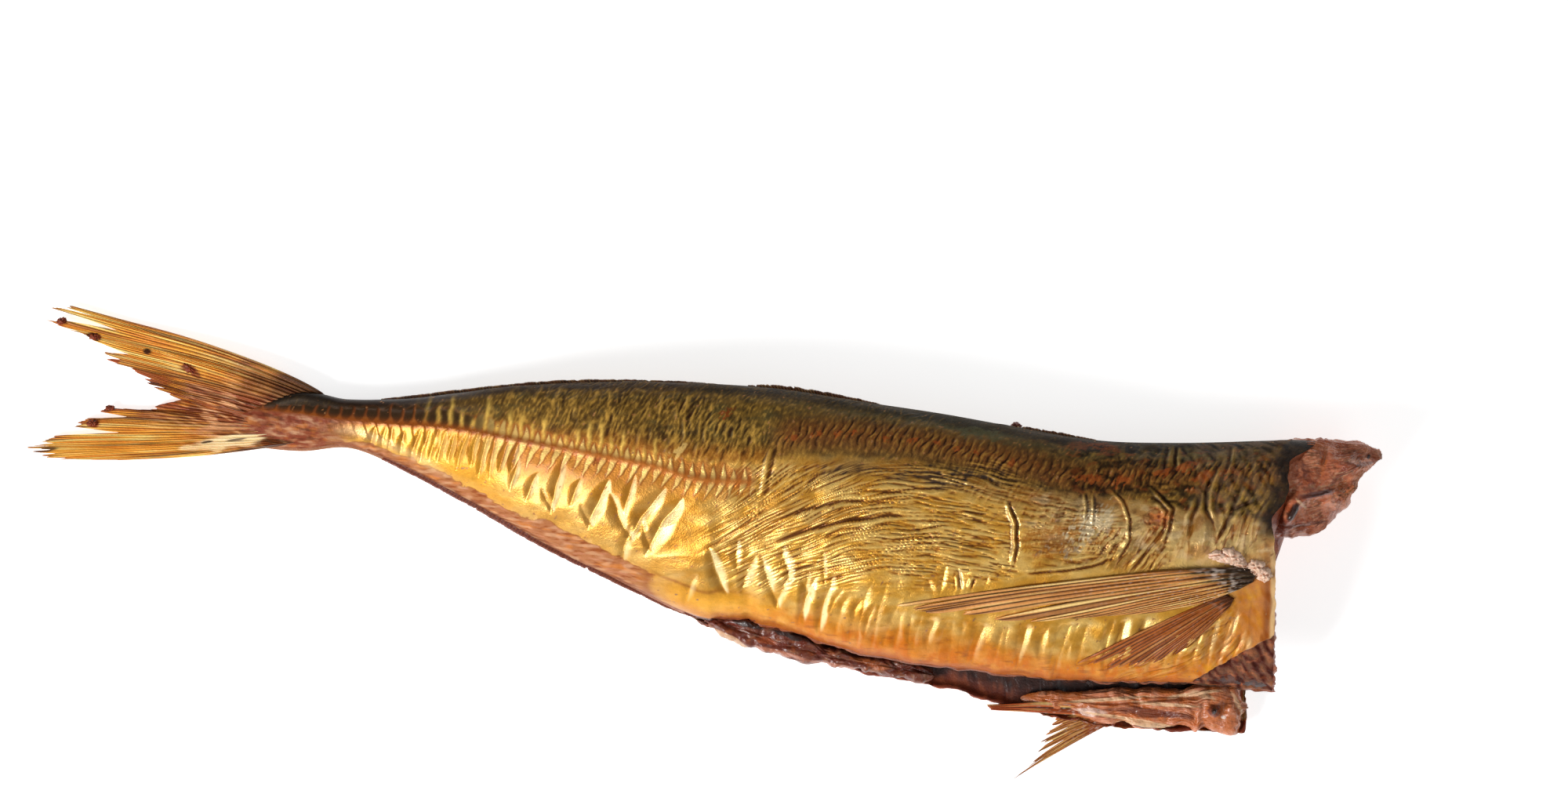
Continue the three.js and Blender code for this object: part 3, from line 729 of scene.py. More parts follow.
# where the dark back ends: x, y
waterline = through([
    (-118, 33.6), (-80, 30.6), (-60, 30), (-43, 26.6), (-20, 24.5), (0, 21.5), (14, 20.5), (24, 22),
    (45, 21.4), (70, 17), (90, 12.5), (108, 11), (125, 8), (146, 5),
])
scabs = [  # x, y, half length, half width, turn, colour, strength
    (7, 33.6, 1.2, 1.4, 0, "rust", 0.9), (99, 17, 3.4, 1.1, -8, "orange", 0.6),
    (103, 25, 4.4, 1.0, -14, "rust", 0.5), (107.4, 16.6, 2.6, 1.5, 10, "orange", 0.55),
    (117.2, 18.5, 2.4, 0.9, 12, "orange", 0.6), (124, 20, 2, 1.4, 0, "orange", 0.6),
    (128, 17.6, 3, 1.5, 30, "orange", 0.6), (135, 18.6, 2.6, 1.6, 0, "orange", 0.45),
    (96, 25, 3, 1.5, 0, "rust", 0.4), (47, 27, 1.3, 0.8, 0, "orange", 0.6),
    (54, 26.4, 1.2, 0.8, 0, "orange", 0.7), (60, 26, 1.3, 0.8, 0, "orange", 0.6),
    (30, 28.4, 1.2, 0.8, 0, "orange", 0.5), (39, 28.6, 1.1, 0.7, 0, "orange", 0.7),
    (65, 24.4, 1.2, 0.8, 0, "orange", 0.6), (70, 23.6, 1.2, 0.8, 0, "orange", 0.6),
    (79, 21.4, 1.2, 0.8, 0, "orange", 0.6), (72, 28.6, 6, 1.4, -12, "teal", 0.7),
    (101, 6, 5, 3, 20, "silver", 0.5), (35, 28.4, 1, 0.8, 0, "orange", 0.6),
    (24, 27.6, 1.2, 0.8, 0, "orange", 0.5), (-26, 21.6, 0.8, 0.8, 0, "rust", 0.9),
    (-5, 24.2, 2.4, 1, 50, "pale", 0.5), (89, 1.5, 8, 3.4, -8, "deep", 0.6),
    (99, 5.5, 3.4, 5, -20, "silver", 0.5), (92, 0.6, 5, 1.6, -8, "brown", 0.35),
    (124, 4, 5, 1.4, 55, "shade", 0.6), (108, -2, 6, 2, 48, "brown", 0.4),
]
wound = {"x": 116.2, "y": 6.8, "size": 2.3}
# the belly corner at the neck is bare below this line
bareCorner = [(125.5, -34.6), (134.2, -29.6), (140.8, -25.6), (146, -22.6)]


def skinColours(x, y, arc, marks):
    # Dark olive above a wandering waterline, gold below it, amber and pink at the belly, with
    # each mark of the relief shading its own grooves.
    backY, nearEdge, *_ = edgesAt(x)
    fromBack, fromBelly = backY - y, y - nearEdge
    patchy = cloud(x / 9, arc / 6, 51)
    mottle = cloud(x / 2.6, arc / 1.6, 54)
    speck = noise((x - 0.5 * arc) / 0.65, (arc + 0.5 * x) / 1.7, 57)
    drift = noise((x - 0.35 * arc) / 2.4, (arc + 0.35 * x) / 8, 59)
    drift = drift + 0.45 * noise((x - 0.3 * arc) / 1.1, (arc + 0.3 * x) / 3, 60)
    above = y - waterline(x)[0] + 1.3 * patchy + 0.8 * mottle
    upper = ramp(-1.6, 1.9, above)

    shown = layered(plain(gold["mid"], x), [
        (gold["pale"], ramp(-0.3, 0.5, patchy) * 0.6),
        (gold["deep"], ramp(0.05, 0.7, -patchy) * 0.4),
        (gold["deep"], ramp(0.1, 0.6, mottle) * 0.2),
        (gold["deep"], 0.5 * bell(above, -1.5, 2.6) * ramp(10, 40, x)),
        (gold["deep"], 0.4 * fadeOut(-6, 16, x)),
        (gold["wheat"], 0.75 * ramp(80, 92, x) * bell(above, -6, 8)),
        (gold["deep"], 0.45 * oval(x, y, 17, 7, 11, 4.5, 38) + 0.4 * oval(x, y, 33, 7, 12, 2, 22)),
    ])
    lowerPale = bell(x, -30, 34) * bell(fromBelly, 8, 6)
    shown = tint(shown, gold["pale"], 0.2 * lowerPale)
    shown = tint(shown, gold["shade"],
                 0.8 * bell(marks["off"], -5, 5) * ramp(-76, -56, x) * fadeOut(-22, 6, x))
    amber = fadeOut(3.5, 9.5, fromBelly + 1.6 * patchy) * ramp(-20, 30, x)
    shown = layered(shown, [
        (gold["amber"], 0.4 * fadeOut(7, 16, fromBelly + 4 * patchy) * ramp(20, 45, x)
         * (1 - 0.8 * ramp(76, 94, x))),
        (gold["amber"], 0.9 * amber * blend(0.6, 1, ramp(-0.3, 0.3, cloud(x / 3, arc / 7, 87)))),
        (gold["rust"], 0.5 * amber * ramp(0.1, 0.6, cloud(x / 5, arc / 1.6, 61))),
        (gold["sun"], 0.8 * bell(fromBelly, 4.2, 2.6) * bell(x, 2, 16)),
        (gold["rust"], 0.6 * bell(fromBelly + 0.5 * patchy, 6.8, 0.5) * bell(x, -2, 13)),
    ])
    shoulder = ramp(128, 143, x + 0.35 * (-8 - y) + 2 * patchy) * fadeOut(-10, -2, y)
    shown = tint(shown, gold["amber"], 0.75 * shoulder)
    glow = cloud(x / 4.5, arc / 8, 88)
    shown = tint(shown, gold["rust"], 0.55 * shoulder * ramp(0.0, 0.45, glow))
    shown = tint(shown, gold["sun"], 0.6 * shoulder * ramp(0.05, 0.45, -glow))
    flankEnd = fadeOut(-8, 4, y) * ramp(136, 144, x + 2 * mottle)
    shown = layered(shown, [
        (gold["keel"], 0.6 * flankEnd),
        (gold["rust"], 0.8 * flankEnd * bell(x, 143.9, 0.9)),
        (gold["straw"], 0.7 * flankEnd * ramp(144.4, 145.2, x)),
        (gold["rust"], 0.6 * flankEnd * ramp(0.1, 0.6, noise(x / 1.3, arc / 6, 84))),
        (bare["pink"], 0.3 * bell(x, 140, 3) * bell(y, -14, 4) * ramp(-0.3, 0.5, mottle)),
    ])

    olive = tint(plain(back["olive"], x), back["dark"], ramp(-0.1, 0.6, patchy) * 0.6)
    olive = tint(olive, back["moss"], ramp(0, 0.5, cloud(x / 7, arc / 3, 58)) * 0.55)
    golden = ramp(-70, -45, x) * (1 - 0.75 * ramp(14, 40, x))
    olive = layered(olive, [
        (back["fleck"], ramp(0.1, 0.9, drift + 0.3 * patchy + 0.4 * speck) * 0.5 * golden),
        (back["dark"], ramp(0.1, 0.8, -drift - 0.4 * speck) * 0.6 * golden),
        (back["fleck"], ramp(0.1, 0.6, speck) * 0.35),
        (back["dark"], ramp(0.1, 0.6, -speck) * 0.4),
        (gold["amber"], 0.3 * bell(above, 1.5, 2.4) * ramp(-58, -40, x) * fadeOut(14, 24, x)),
    ])
    inBand = bell(marks["bandOff"], 0, 4.6) * ramp(14, 24, x)
    olive = tint(olive, back["band"], 0.75 * inBand)
    olive = tint(olive, back["slate"], 0.85 * fadeOut(-74, -50, x))
    teal = bell(x, 62, 34) * bell(y - bandLine(x)[0], 6.2, 2.4) + bell(x, 128, 18) * bell(y, 22.5, 3.2)
    olive = tint(olive, back["teal"], np.clip(teal * (0.75 + 0.7 * mottle), 0, 0.85))
    front = ramp(78, 100, x)
    olive = tint(olive, back["black"], 0.85 * front * ramp(-0.25, 0.3, -cloud(x / 3.4, arc / 2.4, 85)))
    olive = tint(olive, gold["rust"], 0.5 * front * ramp(0.1, 0.5, cloud(x / 4, arc / 2.2, 86)))
    edgeWidth = blend(1.8, 3.0, ramp(-60, 30, x)) * (1 - 0.35 * ramp(100, 130, x))
    rim = fadeOut(0.5, 1.3, (fromBack + 0.5 * patchy) / edgeWidth)
    olive = tint(olive, back["black"], 0.8 * rim)
    shown = blend(shown, olive, upper[..., None])

    # painted shade: brown and black in the dips and along the folds' bottoms, olive-gold on fold slopes
    # turned away
    #     # from the key light; painted highlight: pale raised parts and cream on fold slopes turned towards
    #     it
    shadedHollows, litCrests = ramp(0.01, 0.14, -marks["cavity"]), ramp(0.02, 0.2, marks["cavity"])
    shown = layered(shown, [
        (gold["pale"], 0.5 * litCrests * (1 - upper) * ramp(-60, -30, x)),
        (gold["deep"], 0.9 * shadedHollows * (1 - upper)),
        (gold["brown"], 0.85 * ramp(0.07, 0.24, -marks["cavity"])),
        (gold["cream"], 0.95 * ramp(0.04, 0.3, marks["facing"]) * (1 - 0.75 * upper)
         * (1 - 0.55 * ramp(26, 50, x)) * blend(0.35, 1, ramp(-70, -44, x))),
        (gold["shade"], 0.6 * ramp(0.05, 0.4, -marks["facing"]) * (1 - upper)),
        (gold["deep"], 0.35 * ramp(0.06, 0.2, -marks["crack"]) * (1 - upper)),
        (back["fleck"], 0.5 * litCrests * upper * ramp(-80, -55, x) * (1 - 0.6 * front)),
        (back["black"], 0.6 * shadedHollows * upper),
    ])
    smoke = ramp(76, 92, x) * ramp(-7, 0, y) * (1 - upper)
    shown = layered(shown, [
        (gold["deep"], 0.55 * smoke * ramp(-0.15, 0.4, cloud(x / 6, arc / 3.4, 69))),
        (gold["brown"], 0.45 * smoke * ramp(0.05, 0.5, cloud(x / 2.4, arc / 3, 70))),
        (gold["straw"], 0.6 * smoke * ramp(0.1, 0.5, -cloud(x / 5, arc / 3, 71))),
    ])

    # plates: dark tongues with amber gaps at the rear, pale spikes with rusty outlines further on
    rear = fadeOut(*lateral["tonguesTo"], x)
    upside = ramp(-0.2, 0.2, marks["off"])
    plate, gaps = marks["spike"], marks["row"] * (1 - marks["spike"])
    byKeel = bell(marks["off"], 0, 1.5)
    shown = layered(shown, [
        (gold["keel"], gaps * np.clip(blend(0.3, 0.6, upside) * ramp(-90, -60, x) + 0.7 * byKeel, 0, 1)),
        (back["band"], gaps * blend(0.7, 0.3, ramp(-90, -60, x)) * (1 - byKeel) * upside),
        (back["dark"], 0.85 * plate * rear * upside),
    ])
    lowerDark = blend(bell(marks["phase"], 0.3, 0.2), 1, fadeOut(-80, -66, x))
    shown = layered(shown, [
        (back["dark"], 0.8 * plate * rear * (1 - upside) * lowerDark),
        (gold["sun"], 0.5 * rear * (1 - upside) * ramp(-98, -86, x)),
        (gold["pale"], 0.75 * plate * (1 - rear) * upside),
        (gold["pale"], 0.7 * plate * (1 - rear) * (1 - upside)),
        (gold["rust"], 0.7 * marks["outline"] * (1 - 0.4 * rear)),
        (back["gilt"], np.clip(marks["streak"] * (0.85 + 0.4 * speck), 0, 0.95)),
    ])
    keelMark = np.clip(marks["keel"], 0, 1)
    shown = layered(shown, [
        (gold["rust"], 0.9 * keelMark**0.7),
        (gold["ridge"], 0.9 * keelMark**2 * (0.8 + 0.4 * speck)),
        (gold["keel"], 0.6 * keelMark * ramp(-46, -24, x)),
    ])

    # the band's scale rows: dark strokes, deepened in their grooves as painted shade, and pale crescents
    # beside them
    #     # as painted highlight, with rusty dots between
    shown = layered(shown, [
        (back["black"], 0.65 * marks["stroke"]),
        (back["fleck"], 0.4 * marks["crescent"] * ramp(-0.4, 0.5, mottle + speck)),
        (gold["rust"], 0.35 * marks["band"] * (1 - marks["stroke"]) * ramp(0, 0.6, speck)),
    ])
    # slate below the band, made deeper in the fine grooves as painted shade
    underBand = bell(above, -0.8, 3.6) * ramp(22, 32, x) * fadeOut(96, 106, x)
    shown = tint(shown, back["slate"],
                 np.clip(underBand * (0.25 + ramp(-0.05, 0.24, -marks["fine"])), 0, 0.85))
    shown = stain(shown, x, y, scabs, {**gold, **back}, 3.2 * mottle + 2.2 * speck)

    # bare places
    stripWidth = blend(1.4, 3.4, ramp(-92, -64, x)) + 2.6 * ramp(-52, -38, x)
    strip = fadeOut(-0.5, 0.5, fromBelly - stripWidth + 1.6 * patchy + 0.8 * mottle)
    strip = strip * fadeOut(-20, -6, x + 3 * patchy) * ramp(-98, -90, x)
    scraps = cloud(x / 3.4, arc / 1.1, 62)
    shown = layered(shown, [
        (bare["belly"], 0.9 * strip),
        (gold["rust"], 0.85 * strip * ramp(0.0, 0.5, scraps)),
        (bare["pink"], 0.5 * strip * ramp(0.15, 0.5, -scraps)),
        (gold["keel"], 0.6 * strip * ramp(0.1, 0.5, cloud(x / 7, arc / 3, 80))),
        (gold["rust"], 0.7 * bell(strip, 0.5, 0.3) * fadeOut(-6, 4, x) * ramp(-98, -90, x)),
        (bare["brown"], 0.7 * strip * fadeOut(0.2, 0.9, fromBelly + 0.5 * mottle)),
        (bare["cream"], 0.3 * strip * ramp(0.0, 0.5, noise((x + 2 * arc) / 6, (arc - 0.4 * x) / 2, 83))),
    ])
    stem = fadeOut(-98, -84, x + 3 * patchy) * fadeOut(-0.6, 0.6, marks["off"])
    fibre = cloud((x - 0.2 * arc) / 6, (arc + 0.2 * x) / 1.5, 68)
    shown = layered(shown, [
        (bare["strip"], 0.95 * stem),
        (bare["red"], 0.9 * stem * ramp(-0.6, 0.3, mottle)),
        (gold["keel"], 0.45 * stem * ramp(0.0, 0.5, cloud(x / 5, arc / 3, 89))),
        (bare["cream"], 0.35 * stem * ramp(0.1, 0.5, fibre)),
        (bare["dark"], 0.5 * np.maximum(stem, fadeOut(-112, -104, x)) * ramp(0.1, 0.5, -fibre)),
        (gold["straw"], 0.4 * bell(fromBelly, 3.8, 1.3) * ramp(-97, -88, x) * fadeOut(-72, -60, x)),
    ])
    lip = fadeOut(0.3, 2.0, fromBelly) * ramp(-4, 6, x)
    shown = tint(shown, gold["rim"], 0.75 * lip)
    ragged = noise(x / 1.7, arc / 1.3, 65) + 0.5 * noise(x / 0.7, arc / 0.6, 66)
    hole = np.hypot((x - wound["x"]) / 1.25, y - wound["y"]) / wound["size"] + 0.45 * ragged
    shown = layered(shown, [
        (gold["rust"], 0.5 * bell(hole, 1.05, 0.25)),
        (bare["orange"], 0.7 * fadeOut(0.75, 1.0, hole)),
        (bare["pink"], 0.7 * fadeOut(0.6, 0.9, hole) * ramp(0.1, 0.5, ragged)),
        (bare["wine"], 0.8 * fadeOut(0.6, 0.9, hole) * ramp(0.15, 0.5, -ragged)),
    ])
    cornerY = np.interp(x, [p[0] for p in bareCorner], [p[1] for p in bareCorner])
    corner = ramp(0, 0.6, cornerY - y + 0.5 * mottle) * ramp(124.5, 126.5, x)
    shown = tint(shown, bare["purple"], corner)
    flakes = noise((x + 0.5 * arc) / 1.6, (arc - 0.5 * x) / 4.5, 67)
    shown = layered(shown, [
        (bare["flesh"], 0.5 * corner * ramp(0.1, 0.6, cloud(x / 3, arc / 2, 90))),
        (bare["orange"], 0.25 * corner * ramp(0.25, 0.6, flakes)),
        (bare["dark"], 0.6 * corner * ramp(0.1, 0.6, -flakes)),
        (bare["cream"], 0.8 * bell(corner, 0.5, 0.35) * ramp(-0.4, 0.3, flakes) * ramp(124, 127, x)),
    ])
    neckX = np.interp(y, [1.8, 6.2, 11.4, 16.5, 21.6, 27], [146.5, 145.4, 148.2, 149.9, 149.1, 153.9])
    collar = fadeOut(2.2, 5.2, neckX - x + 2.2 * patchy + mottle) * ramp(0, 4, y)
    shown = tint(shown, blend(back["slate"], back["black"], 0.4),
                 np.clip(collar * (0.9 + 0.3 * mottle), 0, 1))

    sheen = upper * fadeOut(-66, -48, x)  # glossy at the rear of the back
    metal = 0.5 * (1 - 0.86 * upper + 0.4 * sheen) * (1 - rim * upper * 0.6)
    metal = metal * (1 - 0.65 * np.clip(amber + shoulder, 0, 1))
    metal = metal * (1 - strip) * (1 - stem) * (1 - corner) * (1 - 0.6 * lip) * (1 - 0.9 * keelMark)
    metal = metal * (1 - 0.65 * bell(marks["off"], -5, 6) * ramp(-76, -60, x) * fadeOut(-12, 10, x))
    metal = metal * (1 - ramp(1.1, 0.8, hole) * 0.9) * (1 - 0.7 * collar)
    rough = 0.35 + 0.06 * mottle + 0.16 * upper - 0.26 * sheen + 0.12 * strip + 0.1 * rim - 0.2 * collar
    grain = 0.8 + 0.4 * upper * ramp(-50, -20, x) + 0.6 * corner - 0.5 * upper * fadeOut(-70, -50, x)
    finish = stacked(np.clip(metal, 0, 1), np.clip(rough, 0.12, 0.8), np.clip(grain, 0.1, 2))
    return np.clip(shown, darkestTint, 1), finish, corner, hole


def slope(field, place, axis):
    step = np.gradient(place, axis=axis)
    return np.gradient(field, axis=axis) / np.where(np.abs(step) < smallestStep, smallestStep, step)


def shadeMarks(marks, relief, points, reach):
    # Cavity: relief less its softened self, with the folds counted little. Facing: the slope of the folds
    # towards
    #     # tail and belly, where the key light stands, which the colours turn into painted highlight and
    #     painted shade.
    #     # Crack: the folds' sharp bottoms, darkened as painted shade.
    rest = relief - 0.85 * marks["folds"] + 0.45 * marks["fine"]
    marks["cavity"] = rest - soften(rest, reach)
    shape = marks["folds"] + 0.5 * marks["fine"]
    facing = 0.85 * slope(shape, points[..., 0], 0) + 0.5 * slope(shape, points[..., 1], 1)
    marks["facing"] = soften(np.clip(facing, -1, 1), 4)
    marks["crack"] = marks["folds"] - soften(marks["folds"], reach // 3)


along = np.linspace(0, 1, body["rows"])[:, None]
nearSide = -np.cos(np.pi * np.linspace(0, 1, body["nearColumns"]))[None, :]
farTurn = np.linspace(0, 1, body["farColumns"])[None, :]
farSide = np.cos(np.pi * farTurn)


def nearFrontAt(side):
    # The collar: nearly straight, hollow at the neck, drawn out in a tongue of skin along the back.
    wave = 0.5 * noise(side * 5, side * 0, 61) + 0.25 * noise(side * 16, side * 0, 62)
    lean = 3.6 * ramp(0.36, 0.66, side) - 0.9 * bell(side, 0.34, 0.12)
    return body["nearFrontX"] + wave * (1 - side**8) + lean + 7.0 * ramp(0.82, 0.99, side)


nearX = blend(body["startX"], nearFrontAt(nearSide), along)
farFront = blend(nearFrontAt(np.array(1.0)), body["farFrontX"], ramp(0, 0.3, farTurn))
farFront = farFront - 1.4 * ramp(0.9, 1, farTurn)
farFront = farFront + 0.5 * noise(farTurn * 40, farTurn * 0, 64) * ramp(0.3, 0.5, farTurn)
farX = blend(body["startX"], farFront, along)
nearBase, farBase = nearFlank(nearX, nearSide), farFlank(farX, farSide)
# the far side counts on past the ridge, so that its patterns don't mirror the near side's
nearArc, fromRidge = arcPlace(nearBase), arcPlace(farBase)
farArc = nearArc[:, -1:] + fromRidge[:, :1] - fromRidge
nearRelief, nearMarks = skinRelief(nearBase[..., 0], nearBase[..., 1], nearArc)
farRelief, farMarks = skinRelief(farBase[..., 0], farBase[..., 1], farArc)
shadeMarks(nearMarks, nearRelief, nearBase, body["nearCavity"])
shadeMarks(farMarks, farRelief, farBase, body["farCavity"])
nearTint, nearFinish, nearCorner, nearHole = skinColours(nearBase[..., 0], nearBase[..., 1], nearArc,
                                                         nearMarks)
farTint, farFinish, _, _ = skinColours(farBase[..., 0], farBase[..., 1], farArc, farMarks)
# thin parts carry less relief
slim = np.minimum(1, stationAt(nearBase[..., 0])[6] / body["fullReliefRise"])
nearRelief = nearRelief * slim - 0.7 * nearCorner
nearRelief = nearRelief + 0.5 * nearCorner * cloud(nearX / 2, nearBase[..., 1] / 2, 63)
nearRelief = nearRelief - 0.3 * fadeOut(0.6, 1.0, nearHole) + 0.2 * bell(nearHole, 1.15, 0.3)
nearRelief = nearRelief * ramp(0, 0.012, 1 + nearSide) * ramp(0, 0.004, 1 - nearSide)
farRelief = body["farRelief"] * farRelief * ramp(0, 0.02, 1 + farSide) * ramp(0, 0.006, 1 - farSide)
nearSkin = nearBase + unitNormals(nearBase) * nearRelief[..., None]
farSkin = farBase + unitNormals(farBase) * farRelief[..., None]
farSkin[..., 2] = np.maximum(farSkin[..., 2], 0)
print("skin worked out: %d near points, %d far points" % (nearSkin[..., 0].size, farSkin[..., 0].size))


# one shading across the slices: the normals of the whole grid
nearNormals, farNormals = unitNormals(nearSkin), unitNormals(farSkin)


def slicedSkin(name, points, normals, tints, finishes, slices):
    # Cuts a grid into slices that share their border rows.
    cuts = np.linspace(0, len(points) - 1, slices + 1).astype(int)
    for i, (first, last) in enumerate(zip(cuts[:-1], cuts[1:])):
        rows = slice(first, last + 1)
        faces = gridFaces(last + 1 - first, points.shape[1])
        fields = {"tint": tints[rows], "finish": finishes[rows]}
        piece = makePiece("%s_%d" % (name, i + 1), points[rows], faces, fields, normals[rows])
        finishPiece(piece, skinMaterial)


slicedSkin("near_skin", nearSkin, nearNormals, nearTint, nearFinish, body["slices"])
slicedSkin("far_skin", farSkin, farNormals, farTint, farFinish, 1)
print("skin made")


# the belly's lining: the cut edges, the open cavity between them and the closed strip behind it
lining = {
    "columns": 81, "rim": 0.07, "rimBulge": 0.55, "closedBulge": 0.7, "lumps": 0.9,
}


def flatHollow(x, q):
    # Round the cavity from the near rim (q 0) over its end to the far rim (q 1): depth goes
    # with sin(pi q), height above the middle with cos(pi q).
    passed = np.clip((x - body["ventX"]) / (body["nearFrontX"] + hollow["pastNeck"] - body["ventX"]), 0, 1)
    depth = hollow["ventDepth"] + hollow["moreDepth"] * np.sqrt(np.minimum(1, passed / hollow["fullAt"]))
    thickness = np.minimum(body["wall"], body["rim"] + body["wall"] * passed)
    side = -1 + depth * np.sin(np.pi * q)
    near, far = nearFlank(x, side), farFlank(x, side)
    up = 1 - np.abs(2 * q - 1)
    atRim = (1 - up) ** 2
    top = near[..., 2] - blend(thickness + body["nearExtra"], body["rim"], atRim)
    bottom = far[..., 2] + blend(thickness, body["rim"], atRim)
    middle = blend(bottom, top, hollow["closedAt"])
    opening = np.cos(np.pi * q)
    z = middle + np.maximum(opening, 0) * (np.maximum(top, middle + 0.1) - middle)
    z = z + np.minimum(opening, 0) * (middle - bottom)
    y = np.where(q < 0.5, near[..., 1], blend(far[..., 1], near[..., 1], up))
    return stacked(x, y, z)


def liningPoints():
    q = (0.5 - 0.5 * np.cos(np.pi * np.linspace(0, 1, lining["columns"])))[None, :]
    nearEdge, farEdge = nearSkin[:, :1], farSkin[:, -1:]
    x = blend(nearEdge[..., 0], farEdge[..., 0], ramp(0, 1, q))
    torn = 3.4 * bell(q, 0.93, 0.035) - 2.2 * bell(q, 0.84, 0.06)
    torn = torn + 0.9 * noise(q * 45, q * 0, 79) * np.sin(np.pi * q)
    x = x + along**6 * torn * ramp(0.02, 0.1, 1 - q + 0.02)
    inside = flatHollow(x, np.clip((q - lining["rim"]) / (1 - 2 * lining["rim"]), 0, 1))
    nearShare = np.clip(q / lining["rim"], 0, 1)[..., None]
    farShare = np.clip((1 - q) / lining["rim"], 0, 1)[..., None]
    points = np.where(nearShare < 1, blend(nearEdge, inside, nearShare), inside)
    points = np.where(farShare < 1, blend(farEdge, inside, farShare), points)
    bulgeOut = np.sin(np.pi * nearShare[..., 0]) + np.sin(np.pi * farShare[..., 0])
    points[..., 1] -= lining["rimBulge"] * bulgeOut
    closed = blend(nearEdge, farEdge, q[..., None])
    closed[..., 1] -= lining["closedBulge"] * np.sin(np.pi * q) * ramp(-124, -110, x)
    opened = ramp(body["ventX"] - 1, body["ventX"] + 5, x)[..., None]
    points = blend(closed, points, opened)
    # lumps and strands, none at the two edges
    free = np.minimum(1, np.minimum(q, 1 - q) / 0.03)
    lumps = cloud(x / 6, points[..., 1] / 2.6, 72) * (0.45 + 0.8 * bell(x, 12, 18))
    y = points[..., 1]
    strands = 0.5 * (1 - 2 * np.abs(noise(x / 7 + 0.25 * y, y / 1.3 + 0.7 * noise(x / 5, y / 3, 78), 73)))
    strands = strands * ramp(60, 96, x)
    raised = free * opened[..., 0] * (lining["lumps"] * lumps + strands)
    points = points + unitNormals(points) * raised[..., None]
    points[..., 2] = np.maximum(points[..., 2], 0)
    return points, x, q


liningSkin, liningX, liningQ = liningPoints()


def liningColours(points, x, q):
    # Strip colour behind the vent; in the cavity purple flesh, redder at the rims, with cream strands,
    #     # and dark deep under the near flap as painted shade.
    y = points[..., 1]
    patchy, mottle = cloud(x / 7, y / 4, 74), cloud(x / 2.2, y / 1.5, 75)
    opened = ramp(-6, 2, x)
    shown = tint(plain(bare["strip"], x), gold["rust"], ramp(0, 0.6, mottle) * 0.5)
    out = y - edgesAt(x)[2] + 0.8 * mottle
    inner = layered(plain(bare["purple"], x), [
        (bare["red"], ramp(-0.1, 0.6, mottle) * 0.8),
        (bare["dark"], 0.7 * ramp(-0.1, 0.5, patchy)),
        (bare["strip"], 0.5 * ramp(0.25, 0.7, cloud(x / 3, y / 2, 77)) * fadeOut(30, 45, x)),
    ])
    edgeStrip = fadeOut(1.6, 2.6, out) * ramp(30, 45, x)
    inner = tint(inner, bare["red"], 0.8 * edgeStrip)
    strand = 1 - 2 * np.abs(noise(x / 7, y / 1.3 + 0.7 * noise(x / 5, y / 3, 78), 73))
    inner = tint(inner, bare["flesh"], 0.5 * ramp(0.4, 0.9, strand))
    # painted shade: dark far in from the far edge, deep under the near flap
    inner = tint(inner, bare["dark"],
                 blend(0.8, 0.5, ramp(8, 20, out)) * ramp(2.4, 5, out) * ramp(24, 50, x))
    rims = np.maximum(1 - q / 0.06, 1 - (1 - q) / 0.05)
    inner = tint(inner, gold["rim"], 0.7 * np.clip(rims, 0, 1))
    shown = blend(shown, inner, opened[..., None])
    finish = stacked(0.0, 0.42 + 0.1 * mottle, 1.0)
    return np.clip(shown, darkestTint, 1), finish


liningTint, liningFinish = liningColours(liningSkin, liningX, liningQ)
belly = makePiece("belly_lining", liningSkin, gridFaces(*liningSkin.shape[:2])[:, ::-1],
                  {"tint": liningTint, "finish": liningFinish})
finishPiece(belly, fleshMaterial)


def resample(loop, count):  # the same number of points, evenly spread along the loop's length
    lengths = np.concatenate([[0], np.cumsum(np.linalg.norm(np.diff(loop, axis=0), axis=1))])
    at = np.linspace(0, lengths[-1], count)
    return np.stack([np.interp(at, lengths, loop[:, k]) for k in range(3)], -1)


# the cut at the collar: from the skin's end inwards to the cavity's mouth
collar = {"rows": 26, "bulge": 1.4}
outerLoop = np.concatenate([nearSkin[-1], farSkin[-1][1:]])
innerLoop = resample(liningSkin[-1], len(outerLoop))
inward = np.linspace(0, 1, collar["rows"])[:, None]
cut = blend(outerLoop[None], innerLoop[None], inward[..., None])
cutFibre = cloud(cut[..., 1] / 2.5, cut[..., 2] / 2.5, 81)
cut[..., 0] += np.sin(np.pi * inward) * (collar["bulge"] * 0.6 + 0.9 * cutFibre)
cutTint = tint(plain(bare["red"], cutFibre), bare["pink"], ramp(-0.2, 0.5, cutFibre) * 0.8)
cutTint = tint(cutTint, gold["rust"], fadeOut(0, 0.2, inward) * 0.6 + 0 * cutFibre)
cutFace = makePiece("collar_cut", cut, gridFaces(*cut.shape[:2]),
                    {"tint": cutTint, "finish": (0.0, 0.4, 1.2)})
finishPiece(cutFace, fleshMaterial)

# the body's rear end, closed inside the tail
rearLoop = np.concatenate([nearSkin[0], farSkin[0][1:], liningSkin[0, 1:-1][::-1]])
rearCap = np.stack([rearLoop, np.broadcast_to(rearLoop.mean(0), rearLoop.shape)])
cap = makePiece("rear_end", rearCap, gridFaces(2, len(rearLoop), around=True)[:, ::-1],
                {"tint": np.broadcast_to(back["band"], rearCap.shape), "finish": (0.0, 0.5, 1.0)},
                weld=True)
finishPiece(cap, skinMaterial)
print("belly, collar and rear end made")


